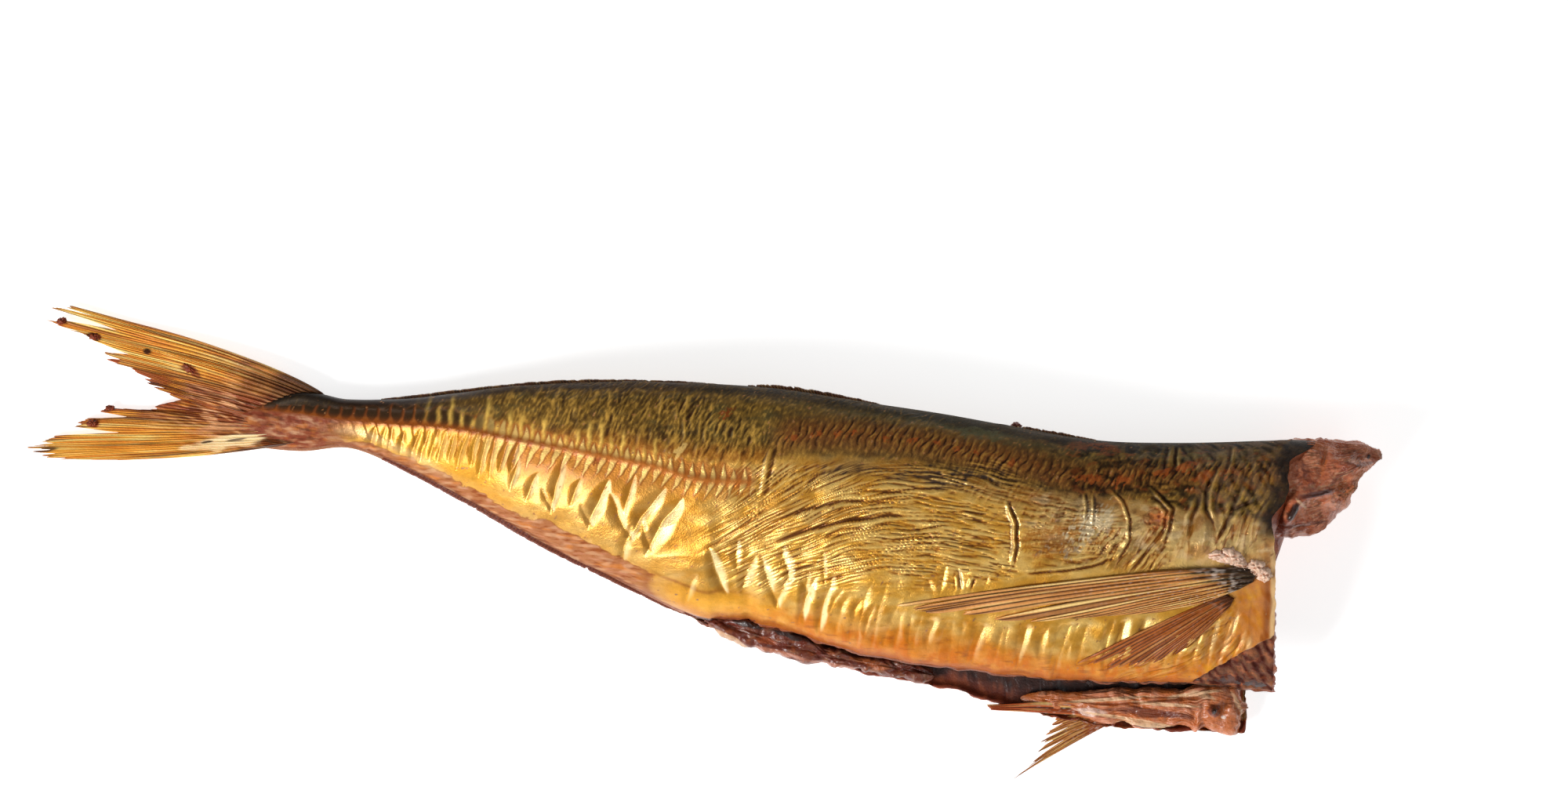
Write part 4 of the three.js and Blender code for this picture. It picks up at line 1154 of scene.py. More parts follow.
# bare flesh: the neck beyond the collar, the thick end of the lower flap and lumps before the vent
neck = {
    "name": "neck_flesh", "rows": 240, "around": 300, "square": 0.85, "seed": 82, "startTip": 4.0,
    "endTip": 3.0, "cavityReach": 10,
    "rings": [  # x, low, high, bottom, top
        (136, 6, 21, 8, 21), (146, 1.8, 25.2, 4.5, 25.4), (150, 2, 26.6, 5, 27.4), (156, 3, 27, 5.2, 26.6),
        (160, 4.6, 27, 6, 25.4), (163.4, 8, 26.6, 7, 24), (165.8, 11.6, 26.4, 8, 22.8),
        (167.6, 17, 26, 9.4, 21.4), (170.4, 19.6, 25.2, 11, 19.4), (172.4, 20.6, 24.4, 12.4, 18.2),
        (174, 21.2, 23, 13.4, 17.2)],
    "lumps": 1.1, "tears": 0.6, "fibres": 0.16, "grain": (-8.0, 40.0), "freeFrom": 145.0, "creamAndHighlight": 0.45,
    "bumps": [  # x, y, half length, half width, turn, height
        (153, 20.5, 5, 4.5, 0, 1.0), (158.6, 21, 5, 1.0, 78, 1.1), (164.6, 19.8, 3.2, 2.2, -20, -1.9),
        (158, 8.2, 6.5, 2.6, 14, 2.6), (150.4, 8.4, 3.6, 1.5, 60, -4.2), (157.6, 13.2, 7, 1.0, 12, -2.4),
        (162.6, 14.6, 3.4, 1.2, 30, 1.1), (148.6, 4, 3, 1.6, 0, 0.5), (150, 13.6, 2.4, 1.2, 20, 0.9),
        (168.6, 23.8, 4.5, 0.9, -12, 0.6), (169, 20.6, 3, 0.7, 12, -0.8), (154.6, 5.4, 6, 0.7, 8, -0.9)],
    # the dark oval at (150.4, 8.4) sits in the deepest pit: painted shade
    "stains": [
        (150.4, 8.4, 3.2, 1.3, 60, "dark", 0.95), (157.6, 13.2, 6.5, 0.9, 12, "wine", 0.9),
        (158.6, 21, 4.5, 0.8, 78, "orange", 0.6), (164.6, 19.8, 3, 2, -20, "red", 0.65),
        (147.6, 4.6, 3.4, 2.4, 0, "red", 0.8), (159, 9.4, 5.5, 1.3, 14, "pink", 0.6),
        (154.6, 5.4, 6, 0.6, 8, "purple", 0.7), (162.6, 14.8, 3, 0.9, 30, "orange", 0.7),
        (169, 20.6, 3, 0.5, 12, "purple", 0.6), (152.6, 10.6, 2.6, 0.4, -40, "cream", 0.7),
        (160, 24.4, 6, 0.7, -6, "rose", 0.7), (165.4, 12.4, 1.6, 3.4, -10, "orange", 0.7),
        (154, 17, 1.2, 5, 14, "wine", 0.6), (162.4, 17.6, 3.6, 0.7, 48, "wine", 0.6),
        (150.6, 22, 1.1, 3.6, -12, "rose", 0.6), (153, 7.8, 2.4, 0.35, -60, "pink", 0.9),
        (170.3, 22.5, 0.7, 0.5, 60, "dark", 1), (156.8, 25.2, 2.4, 1.0, 10, "orange", 0.8)],
}
flap = {
    "name": "flap_flesh", "rows": 300, "around": 220, "square": 0.9, "seed": 182, "startTip": 6.0,
    "endTip": 2.2, "cavityReach": 10,
    "rings": [
        (82, -41.2, -38, 2.2, 4.2), (90, -43, -37.6, 1.6, 5.6), (97.4, -44.4, -37.6, 1.2, 6.6),
        (104.2, -46, -37.2, 0.8, 7.4), (108.2, -45.8, -36.9, 0.7, 7.8), (112.3, -47.1, -36.8, 0.6, 8),
        (118, -47.5, -36.8, 0.6, 8.4), (124, -46.6, -36.8, 0.6, 8.8), (127, -48.5, -36.2, 0.6, 9.2),
        (128.6, -47.2, -36, 0.6, 9.2), (131.6, -47.9, -36, 0.6, 9.2), (134.5, -48.6, -36.2, 0.8, 9),
        (137, -48.6, -36.4, 1.2, 8.6), (138.6, -45, -39.6, 1.8, 7.6), (140, -43, -41.2, 3, 6.4)],
    "lumps": 0.8, "tears": 0.3, "fibres": 0.1, "grain": (-10.0, 8.0), "freeFrom": 84.0, "creamAndHighlight": 0.45,
    "bumps": [
        (131.4, -42.6, 1.0, 1.0, 0, -2.6), (128.6, -42.6, 2.6, 0.8, 90, 0.8),
        (134, -42.6, 2.6, 0.8, 80, 0.7), (126.2, -45, 2.8, 1.0, 80, 1.0), (115.4, -43.2, 8, 1.5, -5, 0.8),
        (112, -40.2, 12, 0.5, 4, 0.7), (118, -38.8, 10, 0.5, 2, 0.6), (104, -41.4, 10, 0.4, -4, -0.7),
        (99, -43.4, 4.6, 1.2, -3, -0.5), (110, -45, 13, 0.3, -9, 0.6), (137, -41, 3.4, 0.7, -70, 0.8)],
    # the dark middle of the hole at (131.4, -42.6) is painted shade
    "stains": [
        (115.6, -43.3, 8, 1.2, -5, "wine", 0.8), (99.6, -43, 5, 1.1, -3, "white", 0.5),
        (96.6, -43.4, 0.7, 0.5, 0, "dark", 0.9), (101.8, -43.6, 0.8, 0.4, 10, "dark", 0.8),
        (131.4, -42.6, 2.9, 2.5, 0, "orange", 0.9), (131.4, -42.6, 2.0, 1.9, 0, "wine", 0.9),
        (131.4, -42.6, 0.7, 1.2, 0, "dark", 1),
        (126.2, -45, 3, 1.0, 80, "orange", 0.85), (117, -46.8, 7, 0.6, -3, "dark", 0.9),
        (104, -39.8, 13, 0.55, 4, "cream", 0.95), (119, -41, 11, 0.55, -4, "cream", 0.9),
        (126, -38.4, 8, 0.6, 8, "cream", 0.9), (114, -46.4, 8, 0.5, -8, "cream", 0.9),
        (122, -43.8, 5, 0.9, -8, "wine", 0.7), (108, -42.2, 6, 0.6, 3, "wine", 0.6),
        (109.4, -44.8, 13, 0.5, -9, "cream", 1), (135.6, -45.6, 2.4, 1.6, 60, "orange", 0.8),
        (137.6, -41, 3.6, 0.7, -66, "cream", 0.8), (128.6, -38.6, 4, 0.8, -20, "cream", 0.7),
        (133.8, -44.4, 0.8, 0.6, 0, "white", 0.8), (90, -41, 7, 2.0, -8, "orange", 0.7)],
}
ventLumps = {
    "name": "vent_flesh", "rows": 200, "around": 130, "square": 0.9, "seed": 282, "startTip": 4.0,
    "endTip": 6.0, "cavityReach": 10,
    "rings": [
        (0, -21, -18.8, 4, 6.6), (6, -23.6, -18.2, 2.6, 8.2), (12, -26.2, -19, 1.8, 8.8),
        (20, -28.4, -21.8, 1.4, 8.6), (30, -30.8, -24.6, 1.0, 8.2), (40, -32.2, -27.6, 1.0, 7.4),
        (50, -34.4, -29.4, 1.2, 6.2), (60, -36.4, -31, 1.6, 5)],
    "lumps": 1.4, "tears": 0.35, "fibres": 0.1, "grain": (-14.0, -14.0), "freeFrom": -4.0, "creamAndHighlight": 0.15,
    "bumps": [(8, -21, 3, 1.2, -20, 0.8), (17, -24.6, 4, 1.4, -16, 1.0), (27, -27, 4, 1.3, -14, 0.9),
              (36, -29.6, 4, 1.2, -12, 0.8), (22, -23, 5, 0.7, -16, -1.4), (12, -20.4, 4, 0.8, -14, -1.4)],
    # the dark ovals at (12, -20.4) and (24, -23.6) lie along the two grooves: painted shade
    "stains": [(12, -20.4, 5, 0.9, -14, "dark", 0.9), (24, -23.6, 7, 0.9, -16, "dark", 0.9),
               (8, -24.4, 6, 0.9, -30, "cream", 0.6), (20, -27.8, 8, 0.7, -14, "pink", 0.7),
               (34, -31, 8, 0.6, -10, "pink", 0.6), (17, -24.8, 3, 1, -16, "flesh", 0.7),
               (44, -30.6, 6, 1, -14, "orange", 0.5)],
}


def fleshRoll(settings):
    # A blunt ring (cosine and sine to a power under 1) carried along x and drawn in at both ends,
    # raised by ovals seen from above and by noise: broad lumps, ridged tears and fine fibres
    # that follow a grain turned from the low side to the high side.
    rings, seed = settings["rings"], settings["seed"]
    first, last = rings[0][0], rings[-1][0]
    t = np.linspace(0, 1, settings["rows"])[:, None]
    turn = 2 * np.pi * np.arange(settings["around"])[None, :] / settings["around"]
    x = blend(first, last, t)
    low, high, bottom, top = through(rings)(x)
    fromEnds = np.minimum((x - first) / settings["startTip"], (last - x) / settings["endTip"])
    drawIn = np.sqrt(1 - (1 - np.clip(fromEnds, 0, 1)) ** 2)
    c, s = np.cos(turn), np.sin(turn)
    y = (low + high) / 2 + (high - low) / 2 * np.sign(c) * np.abs(c) ** settings["square"] * drawIn
    z = (bottom + top) / 2 + (top - bottom) / 2 * np.sign(s) * np.abs(s) ** settings["square"] * drawIn
    points = stacked(x + 0 * y, y, z)
    rounded = y + 0.3 * z * np.sign(c)
    angle = np.radians(blend(settings["grain"][0], settings["grain"][1],
                             np.clip((y - low) / (high - low), 0, 1)))
    swayX = 1.8 * noise(x / 7, rounded / 5, seed)
    swayY = 1.6 * noise(x / 6 + 9, z / 5 + rounded / 9, seed + 1)
    along = (x + swayX) * np.cos(angle) + (y + swayY) * np.sin(angle)
    across = (y + swayY) * np.cos(angle) - (x + swayX) * np.sin(angle) + 0.5 * z * np.sign(c)
    lumps = cloud((x + swayX) / 5.5, (rounded + swayY + 0.4 * z) / 4, seed + 2)
    tears = 1 - 2.4 * np.abs(noise(along / 7, across / 2.4, seed + 3))
    tears = tears * ramp(-0.3, 0.5, noise(x / 8, rounded / 6, seed + 4))
    fibres = noise(along / 5, across / 0.55, seed + 5)
    free = ramp(settings["freeFrom"], settings["freeFrom"] + 4, x) * np.minimum(1, 2 * drawIn)
    height = settings["lumps"] * lumps + settings["tears"] * tears + settings["fibres"] * fibres
    for bump in settings["bumps"]:
        height = height + bump[5] * oval(x + 0.3 * lumps, y, *bump[:5]) * ramp(-0.2, 0.4, s)
    height = height * free
    points = points + unitNormals(points) * height[..., None]
    points[..., 0] += 0.7 * noise(y / 1.4, z / 1.6, seed + 6) * ramp(last - 9, last - 2, x) * drawIn
    points[..., 2] = np.maximum(points[..., 2], lowestPoint)
    return points, {"lumps": lumps, "fibres": fibres,
                    "cavity": height - soften(height, settings["cavityReach"])}


def fleshPiece(settings, main, second):
    # Two flesh tones in turn, fibres lighter and darker, painted shade dark in the dips and painted
    # highlight
    #     # cream on the raised parts.
    points, marks = fleshRoll(settings)
    x, y = points[..., 0], points[..., 1]
    mottle = cloud(x / 3, y / 2, settings["seed"] + 7)
    shown = layered(np.broadcast_to(main, points.shape), [
        (second, ramp(-0.4, 0.5, mottle - marks["lumps"])),
        (bare["cream"], settings["creamAndHighlight"] * ramp(0.15, 0.6, marks["fibres"]) * ramp(-0.4, 0.4, mottle)),
        (bare["wine"], 0.5 * ramp(0.15, 0.6, -marks["fibres"])),
        (bare["orange"], 0.4 * ramp(0.2, 0.6, mottle)),
    ])
    shown = stain(shown, x, y, settings["stains"], {**gold, **bare}, mottle)
    # painted shade in the dips and painted highlight on the raised parts, from the cavity mark
    shown = tint(shown, bare["dark"], 0.75 * ramp(0.08, 0.5, -marks["cavity"]))
    shown = tint(shown, bare["cream"], settings["creamAndHighlight"] * ramp(0.08, 0.4, marks["cavity"]))
    gloss = np.clip(0.32 + 0.16 * mottle, 0.15, 0.7)
    finish = stacked(0.0, gloss, 1.2)
    piece = makePiece(settings["name"], points, gridFaces(*points.shape[:2], around=True),
                      {"tint": np.clip(shown, darkestTint, 1), "finish": finish}, weld=True)
    return finishPiece(piece, fleshMaterial)


fleshPiece(neck, bare["flesh"], bare["rose"])
fleshPiece(flap, bare["orange"], bare["rose"])
fleshPiece(ventLumps, bare["wine"], bare["brown"])
print("bare flesh made")


def finShell(settings):
    # A thin closed shell: rays run from the root line (v from 0 to 1 along it) to a ragged tip
    # line, bow sideways as a sine, and the thickness falls to nothing all round the edge.
    u = np.linspace(0, 1, settings["rows"])[:, None]
    v = np.linspace(0, 1, settings["columns"])[None, :]
    roots, tips = np.array(settings["roots"], float), np.array(settings["tips"], float)
    spreadRoots, spreadTips = np.linspace(0, 1, len(roots)), np.linspace(0, 1, len(tips))
    rootX, rootY = (np.interp(v, spreadRoots, roots[:, k]) for k in (0, 1))
    tipX, tipY = (np.interp(v, spreadTips, tips[:, k]) for k in (0, 1))
    draw = np.random.default_rng(settings["seed"])
    rays = settings["rays"]
    tipRays = rays * 4
    lengths = 1 - settings["fray"] * draw.random(tipRays + 1) ** 2
    gap = (np.abs(2 * ((v * tipRays) % 1) - 1)) ** 3
    reach = np.interp(v, np.linspace(0, 1, tipRays + 1), lengths) - 0.5 * settings["fray"] * gap
    for at in draw.uniform(0.03, 0.97, settings["splits"]):
        depth = draw.uniform(0.3, 1) * settings["splitDepth"]
        reach = reach - depth * bell(v, at, draw.uniform(0.2, 0.5) / tipRays)
    for at, wide, deep in settings.get("notches", []):
        reach = reach - deep * np.maximum(0, 1 - np.abs(v - at) / wide)
    reach = np.clip(reach, 0.3, 1.0)
    run = u * reach
    dx, dy = tipX - rootX, tipY - rootY
    span = np.hypot(dx, dy)
    bow = settings["bow"] * np.sin(np.pi * run**0.7) * (1 - v) ** 1.5
    bow = bow + settings["trailBow"] * np.sin(np.pi * run) * v**1.5
    sway = settings["sway"] * run * noise(v * rays * 0.7, run * 2.2, settings["seed"])
    x = rootX + run * dx + (bow + sway) * dy / span
    y = rootY + run * dy - (bow + sway) * dx / span
    # rays split in two, and in two again, on the way to the tips
    forks = settings["forks"]
    once, twice = ramp(forks[0], forks[0] + 0.18, run), ramp(forks[1], forks[1] + 0.18, run)
    coarse = np.cos(2 * np.pi * rays * v)
    middle = -np.cos(4 * np.pi * rays * v)
    fine = -np.cos(8 * np.pi * rays * v)
    ridge = coarse * (1 - once) + middle * once * (1 - twice) + fine * twice
    edge = (1 - np.abs(2 * v - 1) ** 14) ** 0.5 * np.minimum(1, u / 0.03) ** 0.5
    edge = edge * np.minimum(1, (1 - u) / 0.02) ** 0.5
    thick = blend(settings["thick"], settings["thin"], run**0.6)
    ribHeight = np.minimum(settings["rib"], thick * 0.45) * (1 - 0.5 * run)
    wave = settings["ripple"] * noise(v * 5, run * 3, settings["seed"] + 1)
    lift = settings["lift"](x, y, run, v) + wave * ramp(0, 0.3, run)
    upper = lift + edge * (thick / 2 + ribHeight * (0.5 + 0.5 * ridge))
    lower = lift - edge * (thick / 2)
    if settings["floor"]:
        lower = np.maximum(lower, lowestPoint)
        upper = np.maximum(upper, lower + edge * 0.15)
        lower = np.minimum(lower, upper)
    mid = np.where(edge <= 0, (upper + lower) / 2, 0)
    upper, lower = np.where(edge <= 0, mid, upper), np.where(edge <= 0, mid, lower)
    top = stacked(x, y, upper)
    bottom = stacked(x, y, lower)
    marks = {"run": run + 0 * v, "v": v + 0 * u, "ridge": ridge, "span": run * span, "x": x, "y": y,
             "rays": rays}
    return top, bottom, marks


def finPiece(settings, colours):
    top, bottom, marks = finShell(settings)
    rows, columns = top.shape[:2]
    shown, finish = colours(marks)
    rays = np.stack([marks["span"] / 100, marks["v"] * marks["rays"] / 10, marks["run"]], -1)
    faces = np.concatenate([gridFaces(rows, columns),
                            gridFaces(rows, columns, start=rows * columns)[:, ::-1]])
    points = np.concatenate([top.reshape(-1, 3), bottom.reshape(-1, 3)])
    fields = {"tint": np.concatenate([shown.reshape(-1, 3)] * 2),
              "finish": np.concatenate([finish.reshape(-1, 3)] * 2),
              "rays": np.concatenate([rays.reshape(-1, 3)] * 2)}
    piece = makePiece(settings["name"], points, faces, fields, weld=True)
    return finishPiece(piece, finMaterial)


upperLobe = {
    "name": "tail_upper_lobe", "rows": 110, "columns": 400, "rays": 13, "seed": 91,
    "roots": [(-96.5, 38.4), (-103, 37.8), (-110, 35.8), (-118, 33)],
    "tips": [(-162, 61.4), (-167.2, 60.9), (-168.4, 57.4), (-162, 55), (-158.4, 53.6), (-153.9, 49.8),
             (-152.3, 47), (-146.4, 44.8), (-142.6, 41.9), (-140.3, 40.2), (-133.4, 36.9)],
    "notches": [(0.055, 0.02, 0.12), (0.145, 0.035, 0.25), (0.27, 0.02, 0.05), (0.33, 0.02, 0.05),
                (0.47, 0.04, 0.17), (0.56, 0.02, 0.08), (0.66, 0.03, 0.07), (0.76, 0.025, 0.1),
                (0.86, 0.02, 0.12), (0.93, 0.02, 0.1)],
    "bow": 2.4, "trailBow": -0.2, "sway": 0.5, "fray": 0.02, "splits": 8, "splitDepth": 0.06,
    "forks": (0.2, 0.52), "thick": 2.4, "thin": 0.5, "rib": 0.45, "ripple": 0.4, "floor": True,
    "lift": lambda x, y, run, v: blend(4.4, 1.7, ramp(0, 0.8, run)),
}
lowerLobe = {
    "name": "tail_lower_lobe", "rows": 110, "columns": 400, "rays": 12, "seed": 95,
    "roots": [(-118, 32.8), (-112, 29.6), (-105, 26.8), (-99, 26.4)],
    "tips": [(-133.6, 36.8), (-142, 34.8), (-152.8, 35.1), (-156, 33), (-159.8, 31.3), (-163, 28.8),
             (-168.6, 26.9), (-171.3, 25.6), (-173.6, 24.7), (-171, 23.2), (-167, 21.8), (-160, 21.4),
             (-149, 21.5)],
    "notches": [(0.1, 0.03, 0.1), (0.245, 0.035, 0.2), (0.42, 0.04, 0.26), (0.56, 0.03, 0.06),
                (0.63, 0.02, 0.08), (0.75, 0.02, 0.07), (0.97, 0.02, 0.05)],
    "bow": 0.3, "trailBow": -0.9, "sway": 0.4, "fray": 0.02, "splits": 8, "splitDepth": 0.06,
    "forks": (0.2, 0.52), "thick": 2.4, "thin": 0.5, "rib": 0.45, "ripple": 0.35, "floor": True,
    "lift": lambda x, y, run, v: blend(4.0, 1.5, ramp(0, 0.8, run)),
}
tailColour = palette({
    "amber": (248, 178, 66), "straw": (255, 228, 140), "line": (104, 52, 20),
    "root": (140, 74, 36), "red": (150, 62, 28), "dark": (58, 28, 18),
    "bone": (250, 222, 172), "tan": (214, 154, 104), "orange": (222, 128, 46),
})


def lobeColours(forkSide, spots):
    # Amber ribs with brown lines between them, redder and darker at the root and along the fork.
    def colours(marks):
        run, v, x, y = marks["run"], marks["v"], marks["x"], marks["y"]
        patchy = cloud(x / 9, y / 5, 92)
        streak = noise(v * 30, run * 3, 93)
        shown = layered(plain(tailColour["amber"], x), [
            (tailColour["straw"], ramp(-0.1, 0.5, streak) * 0.8),
            (tailColour["orange"], 0.7 * ramp(0.0, 0.5, -streak)),
            (tailColour["line"], 0.75 * ramp(0.25, 0.5, noise(v * 46, run * 2, 94))),
            (tailColour["root"], 0.8 * fadeOut(0.12, 0.5, run + 0.2 * patchy)),
            (tailColour["dark"], 0.85 * fadeOut(0.03, 0.26, run + 0.15 * patchy + 0.08 * streak)),
        ])
        fork = ramp(0.42, 0.75, v) if forkSide else fadeOut(0.14, 0.46, v)
        shown = layered(shown, [
            (tailColour["red"], 0.95 * fork * ramp(-0.6, 0.2, streak + 0.5 * patchy)),
            (tailColour["dark"], 0.7 * fork * ramp(0.0, 0.4, noise(v * 22, run * 3, 96))),
            (tailColour["tan"], 0.55 * fork * ramp(0.1, 0.5, noise(v * 18, run * 4, 97))
             * fadeOut(0.5, 0.8, run)),
            (tailColour["red"], 0.7 * ramp(0.93, 1, run)),
            (tailColour["line"], 0.8 * ramp(0.5, 0.95, -marks["ridge"]) * ramp(0.1, 0.35, run)),
        ])
        thread = noise(x / 5, (y + 0.35 * x) / 1.0, 99)
        frayed = np.clip(1.7 * oval(x, y, -119, 31, 14, 7, -14), 0, 1)
        shown = tint(shown, tailColour["tan"], 0.9 * frayed * ramp(0.05, 0.35, thread))
        shown = tint(shown, tailColour["root"], 0.85 * frayed * ramp(-0.1, 0.3, -thread))
        shown = stain(shown, x, y, spots, {**gold, **tailColour}, 2 * patchy)
        finish = stacked(0.0, 0.42 + 0.1 * patchy, 0.7)
        return np.clip(shown, darkestTint, 1), finish
    return colours


finPiece(upperLobe, lobeColours(True, [
    (-155.5, 53.4, 2, 1.1, -12, "dark", 1), (-142.3, 49.2, 1.3, 1.0, 0, "dark", 0.95),
    (-130.4, 44.2, 3.2, 1.2, -38, "rust", 0.9), (-164, 57.2, 1.8, 0.8, 0, "red", 1),
    (-151, 46.8, 2.4, 0.9, 8, "red", 0.9), (-141, 41, 2.6, 1, -10, "dark", 0.6)]))
finPiece(lowerLobe, lobeColours(False, [
    (-120, 26.4, 11, 1.9, 7, "bone", 1), (-114, 24.4, 13, 0.6, 8, "dark", 0.8),
    (-131, 24.6, 3, 0.9, 0, "bone", 0.9), (-126.6, 26.2, 1.6, 0.3, 10, "dark", 0.9),
    (-119, 26.8, 3, 0.3, 8, "dark", 0.8), (-112, 33, 5, 2.6, 0, "dark", 0.5),
    (-151.4, 34.9, 1.6, 0.8, 0, "dark", 0.8), (-155.8, 31, 1.8, 0.9, 0, "red", 0.9),
    (-169, 24, 4.5, 0.8, 8, "dark", 0.85), (-122, 30, 7, 1.1, 4, "tan", 0.7)]))


lumpGrid = {"around": 28, "rings": 19, "rough": 0.42, "fineRough": 0.2, "lowest": 0.05}


def lumpPiece(name, lumps, material, main, dark, seed):
    # Closed lumpy balls, all in one piece: unit directions times three radii and noise, turned in plan.
    around = np.linspace(0, 2 * np.pi, lumpGrid["around"] + 1)[None, :-1]
    polar = np.linspace(0, np.pi, lumpGrid["rings"])[:, None]
    ball = stacked(np.sin(polar) * np.cos(around), np.sin(polar) * np.sin(around), np.cos(polar))
    rings, turns = ball.shape[:2]
    points, shades, faces = [], [], []
    for i, (x, y, z, long, wide, high, turn) in enumerate(lumps):
        rough = lumpGrid["rough"] * noise(3 * ball[..., 0] + i, 3 * ball[..., 1] + 2 * ball[..., 2], seed)
        fineX, fineY = 9 * ball[..., 0] + i, 9 * ball[..., 1] + 7 * ball[..., 2]
        rough = rough + lumpGrid["fineRough"] * noise(fineX, fineY, seed + 1)
        rough = np.where(np.abs(ball[..., 2]) > 0.999, rough[:, :1], rough)
        swollen = ball * (1 + rough[..., None]) * (long, wide, high)
        c, s = np.cos(np.radians(turn)), np.sin(np.radians(turn))
        planX = x + swollen[..., 0] * c - swollen[..., 1] * s
        planY = y + swollen[..., 0] * s + swollen[..., 1] * c
        height = np.maximum(z + swollen[..., 2], lumpGrid["lowest"])
        points.append(np.stack([planX, planY, height], -1).reshape(-1, 3))
        # painted shade: darker where the noise sinks the surface in
        shades.append(tint(np.broadcast_to(main, ball.shape), dark, ramp(0, 0.3, -rough)).reshape(-1, 3))
        faces.append(gridFaces(rings, turns, around=True, start=i * rings * turns))
    piece = makePiece(name, np.concatenate(points), np.concatenate(faces),
                      {"tint": np.concatenate(shades), "finish": (0.0, 0.4, 1.2), "rays": (0.0, 0.0, 0.0)},
                      weld=True)
    return finishPiece(piece, material)


tailKnobs = [  # x, y, z, half length, half width, half height, turn
    (-164, 57.2, 1.9, 1.3, 0.9, 0.9, 8), (-155.4, 53.3, 1.9, 1.5, 1.0, 0.9, -6),
    (-151.6, 34.9, 1.9, 1.1, 0.7, 0.8, 0), (-156, 31, 1.9, 1.4, 0.9, 0.9, 10),
    (-131, 45, 2.6, 2.2, 1.2, 0.9, -38),
]
lumpPiece("tail_knobs", tailKnobs, finMaterial, tailColour["red"], tailColour["dark"], 98)
print("tail made")


def onFlank(rise, fall):  # lies on the near flank, a little lower towards the tip
    return lambda x, y, run, v: nearHeight(x, y) + blend(rise, fall, run)


pectoral = {
    "name": "pectoral_fin", "rows": 130, "columns": 260, "rays": 4, "seed": 101,
    "roots": [(138.6, -5.6), (141, -7.6), (140.4, -9.2), (137, -11)],
    "tips": [(47.6, -15.4), (54, -16.8), (66, -18.4), (80, -19.4), (92, -19.2), (104, -18.2), (116, -17)],
    "notches": [(0.07, 0.012, 0.3), (0.16, 0.012, 0.2), (0.25, 0.012, 0.14), (0.36, 0.012, 0.18),
                (0.5, 0.012, 0.1), (0.64, 0.012, 0.16), (0.8, 0.012, 0.1)],
    "bow": 1.7, "trailBow": -0.8, "sway": 0.5, "fray": 0.03, "splits": 7, "splitDepth": 0.1,
    "forks": (0.0, 0.16), "thick": 2.0, "thin": 0.5, "rib": 0.6, "ripple": 0.3, "floor": False,
    "lift": onFlank(0.9, 0.15),
}
pelvic = {
    "name": "pelvic_fin", "rows": 70, "columns": 90, "rays": 4, "seed": 103,
    "roots": [(134, -12.4), (135.6, -13.4), (134.6, -15.4)],
    "tips": [(95, -30.4), (101, -31.8), (108, -32), (115, -30.6), (122, -27.4)],
    "bow": 0.8, "trailBow": -0.3, "sway": 0.5, "fray": 0.16, "splits": 6, "splitDepth": 0.25,
    "forks": (0.1, 0.4), "thick": 1.0, "thin": 0.5, "rib": 0.6, "ripple": 0.15, "floor": False,
    "lift": onFlank(0.2, -0.1),
}
farPelvic = {
    "name": "far_pelvic_fin", "rows": 70, "columns": 80, "rays": 4, "seed": 105,
    "roots": [(99.6, -43.6), (102.6, -44.6), (104.6, -46.4)],
    "tips": [(90.6, -45), (89, -48.4), (85.8, -52), (84.6, -56.6), (79.2, -61.4)],
    "notches": [(0.18, 0.05, 0.3), (0.37, 0.06, 0.42), (0.55, 0.04, 0.3), (0.68, 0.05, 0.42),
                (0.86, 0.04, 0.3)],
    "bow": 0.5, "trailBow": 0.5, "sway": 0.4, "fray": 0.1, "splits": 3, "splitDepth": 0.15,
    "forks": (0.1, 0.4), "thick": 1.6, "thin": 0.6, "rib": 0.35, "ripple": 0.2, "floor": True,
    "lift": lambda x, y, run, v: blend(3.4, 1.2, run),
}
farSpine = {
    "name": "far_spine", "rows": 60, "columns": 28, "rays": 1, "seed": 107,
    "roots": [(106, -40.8), (106.6, -44.2)], "tips": [(73, -41.2), (74.2, -42.4)],
    "bow": 0.8, "trailBow": -0.3, "sway": 0.3, "fray": 0.02, "splits": 0, "splitDepth": 0.0,
    "forks": (0.2, 0.6), "thick": 2.6, "thin": 0.9, "rib": 0.3, "ripple": 0.2, "floor": True,
    "lift": lambda x, y, run, v: blend(5.4, 4.2, run),
}


def finColours(main, line, root, rootReach, straw=0.6):
    # Each ray has its own tone; membranes are darker, cream on the rays' ridges as a painted highlight, the
    # root
    #     # dark with pale flakes.
    def colours(marks):
        run, v, x, y = marks["run"], marks["v"], marks["x"], marks["y"]
        patchy, streak = cloud(x / 7, y / 4, 111), noise(v * marks["rays"] * 3.6, run * 2.5, 112)
        shown = layered(plain(main, x), [
            (tailColour["straw"], straw * ramp(-0.1, 0.5, streak)),
            (line, 0.5 * ramp(0.05, 0.6, -streak)),
            (line, 0.85 * ramp(0.4, 0.95, -marks["ridge"])),
            # painted highlight: cream on the rays' ridges
            (tailColour["bone"], 0.5 * straw * ramp(0.5, 1, marks["ridge"]) * ramp(-0.2, 0.4, streak)),
        ])
        rooted = (run + 0.05 * patchy + 0.03 * marks["ridge"]) / rootReach
        shown = tint(shown, root, 0.92 * fadeOut(0.55, 1.1, rooted))
        flakes = ramp(0.0, 0.2, cloud(x / 1.6, y / 1.0, 113)) * bell(run, 0.11, 0.04)
        flakes = np.maximum(flakes, 0.8 * ramp(0.35, 0.6, noise(x / 0.9, y / 0.5, 114))
                            * bell(run, 0.3, 0.25))
        shown = tint(shown, bare["white"], straw * flakes)
        finish = stacked(0.0, 0.4 + 0.1 * patchy, 0.8)
        return np.clip(shown, darkestTint, 1), finish
    return colours


finPiece(pectoral, finColours(colour(210, 142, 78), gold["brown"], back["black"], 0.17, 0.5))
finPiece(pelvic, finColours(colour(160, 82, 24), gold["brown"], gold["brown"], 0.12, 0.1))
finPiece(farPelvic, finColours(colour(176, 112, 56), gold["brown"], gold["rust"], 0.3, 0.4))
finPiece(farSpine, finColours(colour(176, 84, 42), tailColour["dark"], gold["rust"], 0.2))


blade = {"stations": 24, "sunk": 2.2, "rayPitch": 3, "trail": 2, "rows": 14, "columns": 220}


